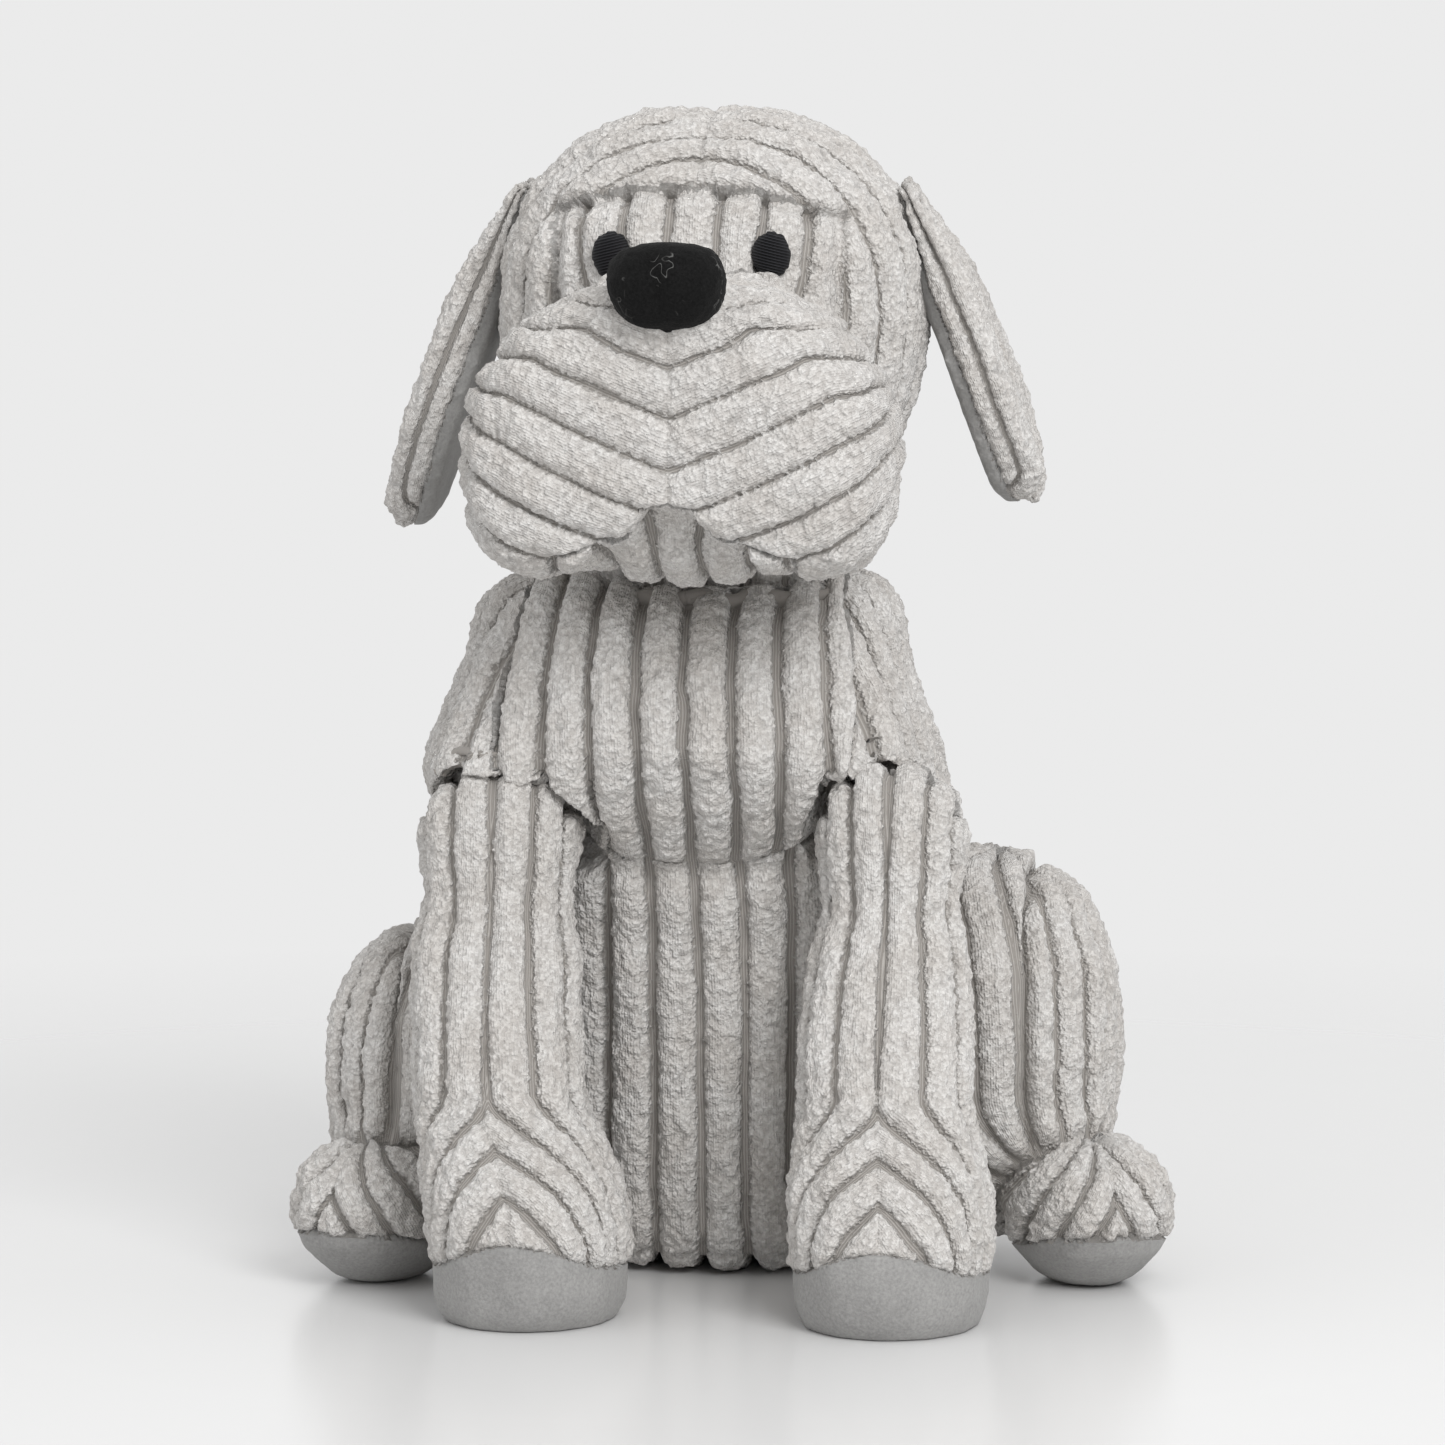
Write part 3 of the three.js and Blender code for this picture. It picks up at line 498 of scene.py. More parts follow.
def sew(skin, panel_of, ribs_of, panels, flush=(), laps=(), seed=1, cap=None, pitch=1.0, thin=False):
    """panels lists (piece name, CAD node, cord or suede, rib half width, rib height, fill), sizes in mm;
    fill is not used.

    flush seams hardly show. laps lists (upper panel, lower panel, rounding of the upper's edge, step).
    cap is how far the filling may push the skin, and pitch stretches the ribs.
    thin skins are measured through, so that the cloth's inner walls never meet."""
    if cap:
        quads = corners_of_faces(skin)
        p, n = points_of(skin), normals_of(skin)
        low, high = seam_points(quads, panel_of(p[quads].mean(1), n[quads].mean(1)), len(p))
        inflate(skin, low != high, 0.5 * cap, cap)
    finer = skin.modifiers.new("finer", "SUBSURF")
    finer.levels = finer.render_levels = FINE
    apply_all(skin)
    p, n, quads = points_of(skin), normals_of(skin), corners_of_faces(skin)
    ragged = np.stack([waves(p, 2.4 * MM, seed + k) for k in (60, 61, 62)], axis=1) * 0.35 * MM
    of_face = panel_of((p + ragged)[quads].mean(1), n[quads].mean(1))
    of_point = panel_of(p, n)
    low, high = seam_points(quads, of_face, len(p))
    is_flush, is_lap = np.zeros(len(p), bool), np.zeros(len(p), bool)
    for a, b in flush:
        is_flush |= (low == min(a, b)) & (high == max(a, b))
    under, edge = np.zeros(len(p)), np.ones(len(p))
    for a, b, round_off, step in laps:
        here = (low == min(a, b)) & (high == max(a, b))
        is_lap |= here
        away = seam_distance(skin, here, REACH)
        below = (of_point == b) * step * MM * np.exp(-((away / (4.5 * MM)) ** 2))
        under = np.maximum(under, below * (1 - rise(-n[:, 2], 0.2, 0.7)))
        fall = np.clip(away / (round_off * MM), 0, 1)
        edge = np.minimum(edge, np.where(of_point == a, np.sqrt(1 - (1 - fall) ** 2), 1))
    seam = seam_distance(skin, (low != high) & ~is_flush & ~is_lap, REACH)
    hidden = seam_distance(skin, is_flush, 4 * MM)
    u, half, tall, cord = (np.zeros(len(p)) for _ in range(4))
    for i, (_, _, kind, width, height, _) in enumerate(panels):
        here = of_point == i
        half[here], tall[here] = width * MM, height * MM
        if kind == "cord" and here.any():
            u[here] = ribs_of(i, p, n)[here] * pitch
            cord[here] = 1
    u = u + 0.6 * MM * waves(p, 26 * MM, seed) + 0.4 * MM * waves(p, 8 * MM, seed + 5)
    coarse, fine = tufts(p, 2.9 * MM, seed + 20), tufts(p, 1.5 * MM, seed + 30)
    d = np.abs((u / RIB_PITCH + 0.5) % 1 - 0.5) * RIB_PITCH - 0.9 * MM * (fine - 0.45)
    t = np.clip(d / np.maximum(half * (1 + 0.06 * waves(p, 14 * MM, seed + 9)), 1e-5), 0, 1)
    rib = np.sqrt(1 - t**2.6) * cord
    ends = np.sqrt(np.clip(1 - (1 - np.clip((seam - 0.4 * MM) / (3.8 * MM), 0, 1)) ** 2, 0, 1))
    ends *= (1 - 0.3 * np.exp(-((hidden / (1.1 * MM)) ** 2))) * edge
    rib = rib * ends
    pile = 1.1 * MM * (coarse - 0.45) + 0.6 * MM * (fine - 0.45) + 0.5 * MM * waves(p, 5 * MM, seed + 40)
    plump = 1 + 0.1 * waves(p, 18 * MM, seed + 13)
    lift = tall * (rib * plump - 1) + pile * np.clip(rib * 1.3, 0, 1)
    lift -= TUCK * np.exp(-((seam / (1.5 * MM)) ** 2)) + 0.4 * MM * np.exp(-((hidden / (1.0 * MM)) ** 2))
    nap = tall * ends + 0.12 * MM * waves(p, 2.2 * MM, seed + 50)
    lift = np.where(cord > 0, lift, nap - tall - TUCK * np.exp(-((seam / (1.2 * MM)) ** 2)))
    lift -= smooth_field(skin, under, 1)
    depth = tall + TUCK + WALL + smooth_field(skin, under, 1)
    if thin:
        through = smooth_field(skin, np.minimum(thickness(skin, p, n), THICKEST), 6)
        lift = np.maximum(lift, -0.26 * through)
        depth = np.minimum(depth, np.maximum(0.40 * through, -lift + 0.3 * MM))
    outer = p + n * lift[:, None]
    inner = p - n * depth[:, None]
    outer[:, 2] = np.maximum(outer[:, 2], 0.2 * MM)
    inner[:, 2] = np.maximum(inner[:, 2], 1.0 * MM)
    # pit is the pile's height, and the cord darkens its low places as painted shade between the tufts
    pit = 0.6 * coarse + 0.4 * fine
    values = {"rib": rib, "pit": pit, "lines": u / MM}
    made = []
    for i, (name, node, kind, _, _, fill) in enumerate(panels):
        piece = panel_piece(name, quads[of_face == i], outer, inner, values)
        piece.data.materials.append(CORD if kind == "cord" else SUEDE)
        finish_piece(piece, [node])
        made.append(piece)
    say(f"{skin.name}: {len(quads)} squares in {', '.join(o.name for o in made)}")
    bpy.data.meshes.remove(skin.data)
    return made


def finish_piece(piece, nodes, look=None):
    if look:
        piece.data.shade_smooth()
        piece.data.materials.append(look)
    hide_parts(*nodes)
    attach(piece, frame["nodes"][nodes[0]]["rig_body"])
    return piece


def stuff(node, slack=3.6 * MM):
    """The fibre inside a skin, a little smaller than its CAD solid."""
    block = skin_from(node.replace("stuffing", "filling"), [node], voxel=5 * MM, soften=3, settle=0)
    p, n = points_of(block), normals_of(block)
    move_points(block, p - n * (slack - 0.8 * MM * waves(p, 9 * MM, 3))[:, None])
    return finish_piece(block, [node], FIBRE)


# %% [markdown]
# ## Finishes
# Each finish is a small node tree. Patterns use Object coordinates in metres, so a scale of 700 gives
# cells of about 1.4 mm. The cord reads what sewing stored on each point: how high the rib is there, how
# deep between two tufts it lies, which the cord paints as shade, and where the backing's knitted lines run.
# %% Helpers for node trees
def material(name):
    made = bpy.data.materials.new(name)
    made.use_nodes = True
    return made, made.node_tree, made.node_tree.nodes["Principled BSDF"]


def attribute(tree, name):
    node = tree.nodes.new("ShaderNodeAttribute")
    node.attribute_name = name
    return node.outputs["Fac"]


def ramp(tree, source, low, high, low_at=0.0, high_at=1.0):
    node = tree.nodes.new("ShaderNodeValToRGB")
    for element, place, color in zip(node.color_ramp.elements, (low_at, high_at), (low, high)):
        element.position = place
        element.color = (*color, 1) if isinstance(color, tuple) else (color, color, color, 1)
    tree.links.new(source, node.inputs["Fac"])
    return node.outputs["Color"]


def object_place(tree):
    return tree.nodes.new("ShaderNodeTexCoord").outputs["Object"]


def noise(tree, scale, detail=2.0, roughness=0.6, output="Fac"):
    node = tree.nodes.new("ShaderNodeTexNoise")
    for socket, value in (("Scale", scale), ("Detail", detail), ("Roughness", roughness)):
        node.inputs[socket].default_value = value
    tree.links.new(object_place(tree), node.inputs["Vector"])
    return node.outputs[output]


def cells(tree, scale, warp):
    """Cells whose places are pushed about by up to warp metres, so that no two tufts are alike."""
    add = tree.nodes.new("ShaderNodeVectorMath")
    add.operation = "MULTIPLY_ADD"
    add.inputs[1].default_value = (warp, warp, warp)
    tree.links.new(noise(tree, 0.6 * scale, 1.0, 0.5, "Color"), add.inputs[0])
    tree.links.new(object_place(tree), add.inputs[2])
    node = tree.nodes.new("ShaderNodeTexVoronoi")
    node.feature = "SMOOTH_F1"
    node.inputs["Scale"].default_value = scale
    node.inputs["Smoothness"].default_value = 0.35
    tree.links.new(add.outputs["Vector"], node.inputs["Vector"])
    return node.outputs["Distance"]


def mixed(tree, kind, factor, a, b):
    node = tree.nodes.new("ShaderNodeMix")
    node.data_type = "RGBA"
    node.blend_type = kind
    fac = next(s for s in node.inputs if s.name == "Factor" and s.type == "VALUE")
    if isinstance(factor, float):
        fac.default_value = factor
    else:
        tree.links.new(factor, fac)
    for name, value in (("A", a), ("B", b)):
        socket = next(s for s in node.inputs if s.name == name and s.type == "RGBA")
        if isinstance(value, tuple):
            socket.default_value = (*value, 1)
        else:
            tree.links.new(value, socket)
    return next(s for s in node.outputs if s.type == "RGBA")


def maths(tree, kind, a, b=0.0, c=0.0):
    node = tree.nodes.new("ShaderNodeMath")
    node.operation = kind
    for socket, value in zip(node.inputs, (a, b, c)):
        if isinstance(value, (int, float)):
            socket.default_value = value
        else:
            tree.links.new(value, socket)
    return node.outputs[0]


def bump(tree, height, strength, distance, shader):
    node = tree.nodes.new("ShaderNodeBump")
    node.inputs["Strength"].default_value = strength
    node.inputs["Distance"].default_value = distance
    tree.links.new(height, node.inputs["Height"])
    tree.links.new(node.outputs["Normal"], shader.inputs["Normal"])


def surface(shader, roughness, specular, sheen=0.0):
    shader.inputs["Metallic"].default_value = 0
    shader.inputs["Roughness"].default_value = roughness
    shader.inputs["Specular IOR Level"].default_value = specular
    shader.inputs["Sheen Weight"].default_value = sheen
    shader.inputs["Sheen Roughness"].default_value = 0.6


# %% [markdown]
# The cord's pile is light at its tips, and painted shade makes it dark between its tufts. The backing in the
# grooves is a darker, flat knit with fine lines along the rib, and it is painted darker again as shade in
# the grooves. The border between them is ragged, because tufts lean over it.
# %% Cord
def cord_material():
    made, tree, shader = material("cord")
    rib, pit, lines = (attribute(tree, k) for k in ("rib", "pit", "lines"))
    loops = maths(tree, "SUBTRACT", 1.0, cells(tree, 680, 1.3 * MM))
    small = maths(tree, "SUBTRACT", 1.0, cells(tree, 1400, 0.6 * MM))
    hairs = noise(tree, 2300, 2, 0.7)
    tuft = maths(tree, "MULTIPLY_ADD", loops, 0.62, maths(tree, "MULTIPLY", small, 0.38))
    # painted shade: the pile is dark in the crevices between its tufts and light on their tops
    tips = ramp(tree, tuft, (0.55, 0.53, 0.51), (0.75, 0.735, 0.715), 0.34, 0.70)
    # painted shade: the low places of the pile, read from pit, are darker still
    painted_tuft_shade = ramp(tree, pit, 0.66, 1.0, 0.03, 0.33)
    tips = mixed(tree, "MULTIPLY", 1.0, tips, painted_tuft_shade)
    # painted shading: patches lighter and darker where the leaning pile catches the light differently
    clouds = noise(tree, 75, 2, 0.5)
    clouds = ramp(tree, clouds, (0.90, 0.885, 0.87), (1.0, 1.0, 1.0), 0.35, 0.65)
    tips = mixed(tree, "MULTIPLY", 1.0, tips, clouds)
    stripe = maths(tree, "SINE", maths(tree, "MULTIPLY", lines, 2 * math.pi / 0.62))
    # the backing's knit is darker than the pile, and it is painted darker again as the shade in the grooves
    backing = ramp(tree, stripe, (0.30, 0.28, 0.26), (0.44, 0.42, 0.395), 0.25, 0.85)
    edge = maths(tree, "MULTIPLY_ADD", tuft, 0.5, maths(tree, "ADD", rib, -0.27))
    cover = ramp(tree, edge, 0.0, 1.0, 0.10, 0.38)
    tree.links.new(mixed(tree, "MIX", cover, backing, tips), shader.inputs["Base Color"])
    knit = maths(tree, "MULTIPLY", stripe, 0.05)
    high = maths(tree, "MULTIPLY_ADD", hairs, 0.16, tuft)
    high = maths(tree, "MULTIPLY", high, cover)
    bump(tree, maths(tree, "ADD", high, knit), 0.8, 1.4 * MM, shader)
    surface(shader, 0.95, 0.12, 0.18)
    return made


# %% [markdown]
# Suede cloth has a short, even nap: fine grain, faint clouds where it was brushed, and no shine.
# %% Suede, velour, thread and the inner materials
def suede_material():
    made, tree, shader = material("suede")
    grain = noise(tree, 1300, 3, 0.6)
    color = ramp(tree, grain, (0.28, 0.275, 0.27), (0.385, 0.38, 0.37), 0.3, 0.7)
    clouds = ramp(tree, noise(tree, 60, 2, 0.5), 0.86, 1.0, 0.3, 0.7)
    tree.links.new(mixed(tree, "MULTIPLY", 1.0, color, clouds), shader.inputs["Base Color"])
    bump(tree, grain, 0.4, 0.4 * MM, shader)
    surface(shader, 0.9, 0.2, 0.12)
    return made


def velour_material():
    made, tree, shader = material("velour")
    nap = noise(tree, 1500, 3, 0.7)
    color = ramp(tree, nap, (0.002, 0.002, 0.002), (0.010, 0.010, 0.010), 0.3, 0.7)
    threads = maths(tree, "SUBTRACT", noise(tree, 260, 1, 0.5), 0.5)
    threads = maths(tree, "ABSOLUTE", threads)
    patches = ramp(tree, noise(tree, 130, 1, 0.5), 0.0, 0.8, 0.56, 0.64)
    lint = maths(tree, "MULTIPLY", ramp(tree, threads, 1.0, 0.0, 0.004, 0.014), patches)
    tree.links.new(mixed(tree, "MIX", lint, color, (0.15, 0.15, 0.145)), shader.inputs["Base Color"])
    bump(tree, nap, 0.6, 0.5 * MM, shader)
    surface(shader, 0.9, 0.12, 0.02)
    return made


def thread_material():
    made, tree, shader = material("thread")
    lines = attribute(tree, "lines")
    twist = maths(tree, "SINE", maths(tree, "MULTIPLY", lines, 2 * math.pi))
    color = ramp(tree, twist, (0.004, 0.004, 0.005), (0.022, 0.022, 0.026), 0.2, 0.9)
    tree.links.new(color, shader.inputs["Base Color"])
    bump(tree, twist, 0.5, 0.15 * MM, shader)
    surface(shader, 0.6, 0.25, 0.0)
    return made


def plain_cloth(name, low, high, scale, roughness):
    made, tree, shader = material(name)
    grain = noise(tree, scale, 3, 0.6)
    tree.links.new(ramp(tree, grain, low, high, 0.3, 0.7), shader.inputs["Base Color"])
    bump(tree, grain, 0.5, 0.5 * MM, shader)
    surface(shader, roughness, 0.2, 0.0)
    return made


CORD, SUEDE, VELOUR, THREAD = cord_material(), suede_material(), velour_material(), thread_material()
FIBRE = plain_cloth("fibre", (0.7, 0.69, 0.67), (0.88, 0.87, 0.85), 300, 1.0)
CALICO = plain_cloth("calico", (0.55, 0.5, 0.41), (0.7, 0.65, 0.56), 900, 0.9)
PELLETS = plain_cloth("pellets", (0.5, 0.5, 0.5), (0.7, 0.7, 0.7), 250, 0.4)
print("finishes:", ", ".join(m.name for m in bpy.data.materials if m.users == 0))

# %% [markdown]
# ## Torso
# The torso has a chest panel over a belly panel, a side panel that runs from each of them to the middle of
# the back, and a seat. The front ribs run straight down, and the side panels' ribs follow the outline. CAD
# solids keep a clearance at the shoulders. Cloth has none, so the skin is first drawn over the legs' tops.
# %% Torso
belly_high = corners("belly_panel")[1]
seat_high = corners("seat_panel")[1]

# heights, and the chest panel's middle and half width there
CHEST_AT = [0.100, 0.108, 0.118, 0.130, 0.145, 0.160, 0.172]
CHEST_MIDDLE = [-0.002, -0.003, -0.0045, -0.005, -0.005, -0.005, -0.004]
CHEST_HALF = [0.024, 0.033, 0.040, 0.044, 0.045, 0.043, 0.039]
# heights, and the half width and middle of the outline that the side ribs run along
SIDE_AT = np.array([0.060, 0.104, 0.118, 0.132, 0.150, 0.164, 0.174])
SIDE_HALF = np.array([0.057, 0.060, 0.066, 0.063, 0.057, 0.051, 0.042])
SIDE_MIDDLE = np.array([0, -0.0039, -0.0065, -0.0065, -0.0065, -0.0059, -0.0046])


def chest_place(p):
    """Sideways place on the chest, from -1 to 1 at its side seams, and the height of its lower seam."""
    x, y, z = p.T
    side = (x - np.interp(z, CHEST_AT, CHEST_MIDDLE)) / np.interp(z, CHEST_AT, CHEST_HALF)
    return side, belly_high[2] - 3 * MM + 14 * MM * (np.abs(x + 2 * MM) / (38 * MM)) ** 3


def torso_panel(p, n):
    x, y, z = p.T
    side, low = chest_place(p)
    which = np.where(x >= -3 * MM * rise(z, 80 * MM, 120 * MM), 2, 3)
    front = (y < belly_high[1] - 4 * MM) & (n[:, 1] < 0.2)
    chest = front & (z >= low) & (np.abs(side) < 1)
    which = np.where(chest, 0, which)
    belly = front & ~chest & (z < belly_high[2] + 6 * MM) & (np.abs(x) < belly_high[0])
    which = np.where(belly, 1, which)
    return np.where(z < seat_high[2], 4, which)


def torso_ribs(i, p, n):
    x, y, z = p.T
    side, low = chest_place(p)
    if i == 0:
        bow = 1 + 0.13 * np.clip(np.abs(z - 0.142) / 0.03, 0, 1.3) ** 2 * np.abs(side)
        return (x + 3.5 * MM) * 0.93 * bow + 4 * MM
    if i in (1, 4):
        return (x + 3.5 * MM) * 0.93 + 4 * MM
    near = np.linspace(-12, 12, 7) * MM
    half = sum(np.interp(z + step, SIDE_AT, SIDE_HALF) for step in near) / len(near)
    middle = sum(np.interp(z + step, SIDE_AT, SIDE_MIDDLE) for step in near) / len(near)
    across = SIDE_HALF.max() - half + np.abs(x - middle)
    across = np.where(y > np.interp(z, [0.06, 0.15], [0, -0.03]), 2 * SIDE_HALF.max() - across, across)
    return 0.9 * across + np.maximum(y + 60 * MM, 0)


def fill_shoulders(skin):
    """Raises both upper corners and brings the hem over each leg's top forward and down."""
    p = points_of(skin)
    x, y, z = p.T.copy()
    corner = rise(z, 150 * MM, 170 * MM)
    p[:, 2] += 4 * MM * rise(z, 145 * MM, 168 * MM) * rise(-y, 35 * MM, 60 * MM)
    p[:, 2] += 5 * MM * rise(x, 12 * MM, 34 * MM) * corner * (1 - rise(-y, 45 * MM, 60 * MM))
    p[:, 2] += 3.5 * MM * rise(-x, 16 * MM, 36 * MM) * corner
    p[:, 0] += x * np.where(x > 0, 0.08, 0.07) * rise(z, 148 * MM, 172 * MM)
    p[:, 0] -= 3.5 * MM * rise(-x, 34 * MM, 56 * MM) * np.exp(-(((z - 128 * MM) / (13 * MM)) ** 2))
    hem = np.exp(-(((np.abs(x) - 51 * MM) / (18 * MM)) ** 2)) * (1 - rise(z, 126 * MM, 152 * MM))
    hem *= rise(-y, 42 * MM, 58 * MM) * rise(z, 104 * MM, 112 * MM)
    ahead = np.clip(80 * MM + y, 0, 14 * MM) * hem * rise(-normals_of(skin)[:, 1], 0.0, 0.5)
    p[:, 1] -= smooth_field(skin, ahead, 4)
    p[:, 2] -= 6.5 * MM * hem
    move_points(skin, p)


torso_skin = skin_from(
    "torso_skin",
    ["chest_panel", "belly_panel", "left_side_panel", "right_side_panel", "seat_panel", "torso_stuffing"],
)
fill_shoulders(torso_skin)
sew(
    torso_skin,
    torso_panel,
    torso_ribs,
    [
        ("chest_cover", "chest_panel", "cord", 4.5, 4.2, 0.8),
        ("belly_cover", "belly_panel", "cord", 4.5, 3.8, 0.6),
        ("left_side_cover", "left_side_panel", "cord", 4.6, 3.2, 0.7),
        ("right_side_cover", "right_side_panel", "cord", 4.6, 3.2, 0.7),
        ("seat_cover", "seat_panel", "cord", 4.5, 3.4, 0.6),
    ],
    flush=[(2, 3), (1, 4)],
    laps=[(0, 1, 6.0, 3.5), (0, 2, 3.0, 1.5), (0, 3, 3.0, 1.5)],
    seed=11,
    cap=2.4 * MM,
    thin=True,
)
stuff("torso_stuffing", slack=6 * MM)

# %% [markdown]
# ## Head
# Two crown panels make a hood round a small face panel. Two muzzle panels meet in the middle, with their
# ribs in a V, and hang over the chin as a split lip.
# %% Head
crown_high = corners("left_crown_panel", "right_crown_panel")[1]
SKULL_HALF = np.array([crown_high[0], 50 * MM, crown_high[0]])
SKULL = np.array([0, crown_high[1] - SKULL_HALF[1], crown_high[2] - SKULL_HALF[2]])
muzzle_low, muzzle_high = corners("left_muzzle_panel", "right_muzzle_panel")
face_low, face_high = corners("face_panel")

LIP_ACROSS = np.array([0, 4, 12, 20, 29]) * MM  # the split lip's edge falls away from the middle
LIP_DROP = np.array([0, 4, 10.5, 13, 15.5]) * MM


def head_panel(p, n):
    x, y, z = p.T
    out = (((p - SKULL) / SKULL_HALF) ** 2).sum(1)
    which = np.where(x >= 0, 0, 1)
    top = face_high[2] + 3 * MM - 7 * MM * np.clip(np.abs(x + 3 * MM) / face_high[0], 0, 1) ** 2.5
    face = (np.abs(x) < face_high[0] + 1 * MM) & (z > face_low[2] - 10 * MM) & (z < top) & (y < SKULL[1])
    which = np.where(face, 2, which)
    muzzle = (out > 1.10) & (y < SKULL[1] - 25 * MM) & (z < muzzle_high[2] + 3 * MM)
    which = np.where(muzzle, np.where(x >= 0, 3, 4), which)
    lip = muzzle_low[2] + 20 * MM - np.interp(np.abs(x), LIP_ACROSS, LIP_DROP)
    chin = muzzle & (z < lip) & (np.abs(x) < LIP_ACROSS[-1]) & (y > muzzle_low[1] + 3 * MM)
    return np.where(chin, 5, which)


def head_ribs(i, p, n):
    x, y, z = p.T
    if i in (0, 1):
        v = (p - SKULL) / np.linalg.norm(p - SKULL, axis=1, keepdims=True)
        from_side = np.arccos(np.clip(np.abs(v[:, 0]), 0, 1))
        round_side = np.arctan2(v[:, 2], -v[:, 1])
        from_front = np.arccos(np.clip(-v[:, 1], -1, 1))
        return 52 * MM * (0.45 * from_side * np.cos(round_side) + 0.55 * (math.pi / 2 - from_front))
    if i == 2:
        return x * (1 - 2.2 * (z - face_low[2]))
    if i in (3, 4):
        back = np.maximum(y - muzzle_low[1], 0)
        s = (np.abs(x) ** 1.3 + back**1.3) ** (1 / 1.3)
        over = z + np.clip(n[:, 2], 0, 1) * back * 0.9
        return (over - 0.48 * s) * 0.9
    return x


def fill_head(skin):
    """Makes the crown fuller between its top and its sides, and lets the lips hang a little."""
    p = points_of(skin)
    away = p - SKULL
    climb = np.arctan2(away[:, 2], np.abs(away[:, 0]))
    full = 3.6 * MM * np.sin(2 * np.clip(climb, 0, math.pi / 2))
    p += away / np.linalg.norm(away, axis=1, keepdims=True) * full[:, None]
    p[:, 2] -= 2 * MM * rise(-p[:, 1], 55 * MM, 75 * MM) * (1 - rise(p[:, 2], 0.180, 0.205))
    move_points(skin, p)


halves = [f"{side}_{part}_panel" for part in ("crown", "muzzle") for side in ("left", "right")]
head_skin = skin_from("head_skin", [*halves[:2], "face_panel", *halves[2:], "chin_panel", "head_stuffing"])
fill_head(head_skin)
sew(
    head_skin,
    head_panel,
    head_ribs,
    [
        ("left_crown_cover", "left_crown_panel", "cord", 4.9, 2.4, 0.8),
        ("right_crown_cover", "right_crown_panel", "cord", 4.9, 2.4, 0.8),
        ("face_cover", "face_panel", "cord", 4.6, 3.0, 0.7),
        ("left_muzzle_cover", "left_muzzle_panel", "cord", 5.1, 2.6, 0.8),
        ("right_muzzle_cover", "right_muzzle_panel", "cord", 5.1, 2.6, 0.8),
        ("chin_cover", "chin_panel", "cord", 4.7, 3.2, 0.7),
    ],
    flush=[(0, 1), (3, 4)],
    laps=[(3, 5, 2.6, 5.0), (4, 5, 2.6, 5.0)]  # lips over the chin
    + [(0, 2, 2.5, 4.0), (1, 2, 2.5, 4.0)]  # hood over the face
    + [(3, 2, 3.0, 2.0), (4, 2, 3.0, 2.0), (3, 0, 3.0, 1.8), (4, 1, 3.0, 1.8)],
    seed=31,
    cap=2.4 * MM,
)
stuff("head_stuffing")


# %% [markdown]
# ## Front legs
# Each front leg is a tube of two panels with the pile closing over the seams, and a suede sole that comes
# up at the toe. The ribs run down the tube and fan out over the paw.
# %% Front legs
def sew_front_leg(side, sign, broad, seed):
    """broad says how much fuller than the CAD solid the upper leg is on its outer side, in mm."""
    outer, inner = (f"{side}_front_leg_{part}_panel" for part in ("outer", "inner"))
    sole = f"{side}_front_sole"
    sole_low, sole_high = corners(sole)
    paw_x = (sole_low[0] + sole_high[0]) / 2
    shoulder = next(j["pos_m"] for j in frame["joints"] if j["name"] == f"{side}_front_leg_lift")
    toe, heel = sole_low[1], sole_high[1]

    def panel(p, n):
        x, y, z = p.T
        middle = np.interp(z, [0.02, 0.034, 0.05], [paw_x, 0.75 * paw_x + 0.25 * shoulder[0], shoulder[0]])
        which = np.where(sign * (x - middle) >= 0, 0, 1)
        seam_z = np.interp(y, [toe, heel], [sole_high[2] + 3 * MM, 6 * MM])
        seam_z -= 8 * MM * ((x - paw_x) / (24 * MM)) ** 2 * rise(-y, -toe - 40 * MM, -toe)
        return np.where(z < np.maximum(seam_z, 5 * MM), 2, which)

    def ribs(i, p, n):
        way = way_round(p, even=(46 * MM, 71.5 * MM), top=104 * MM)
        front = 1 - rise(way_round(p, from_front=True), 12 * MM, 46 * MM)
        return way + 0.7 * np.maximum(54 * MM - p[:, 2], 0) * front + 0.37 * RIB_PITCH

    skin = skin_from(f"{side}_front_leg_skin", [outer, inner, sole, f"{side}_front_leg_stuffing"])
    p = points_of(skin)
    p[:, 2] -= 3.5 * MM * (1 - rise(p[:, 2], 0, 14 * MM))
    outward = p - (shoulder[0], shoulder[1], 0)
    outward /= np.linalg.norm(outward[:, :2], axis=1, keepdims=True)
    flare = rise(p[:, 2], 100 * MM, 118 * MM) * rise(-p[:, 1], 60 * MM, 74 * MM)
    p[:, :2] += outward[:, :2] * 1.5 * MM * flare[:, None]
    p[:, 2] += 3.2 * MM * flare
    outer_side = rise(sign * (p[:, 0] - shoulder[0]), 0, 18 * MM)
    upper = rise(p[:, 2], 62 * MM, 92 * MM) * (1 - rise(p[:, 2], 112 * MM, 130 * MM))
    p[:, 0] += sign * broad * MM * outer_side * upper
    move_points(skin, p)
    sew(
        skin,
        panel,
        ribs,
        [
            (f"{side}_front_leg_outer_cover", outer, "cord", 4.5, 3.0, 0.7),
            (f"{side}_front_leg_inner_cover", inner, "cord", 4.5, 3.0, 0.7),
            (f"{side}_front_sole_cover", sole, "suede", 0, 1.0, 0.8),
        ],
        flush=[(0, 1)],
        laps=[(0, 2, 1.6, 0.6), (1, 2, 1.6, 0.6)],
        seed=seed,
        cap=2.0 * MM,
        pitch=0.80,
    )
    stuff(f"{side}_front_leg_stuffing")


sew_front_leg("left", 1, 0, 51)
sew_front_leg("right", -1, 3.5, 71)


# %% [markdown]
# ## Hind legs
# A hind leg is a flat round haunch against the seat, with a short foot in front that turns its toe out.
# %% Hind legs
FOOT_HALF = (0.0235, 0.032, 0.020)  # the foot is a rounded form that toes out from the haunch
FOOT_TURN = math.radians(20)


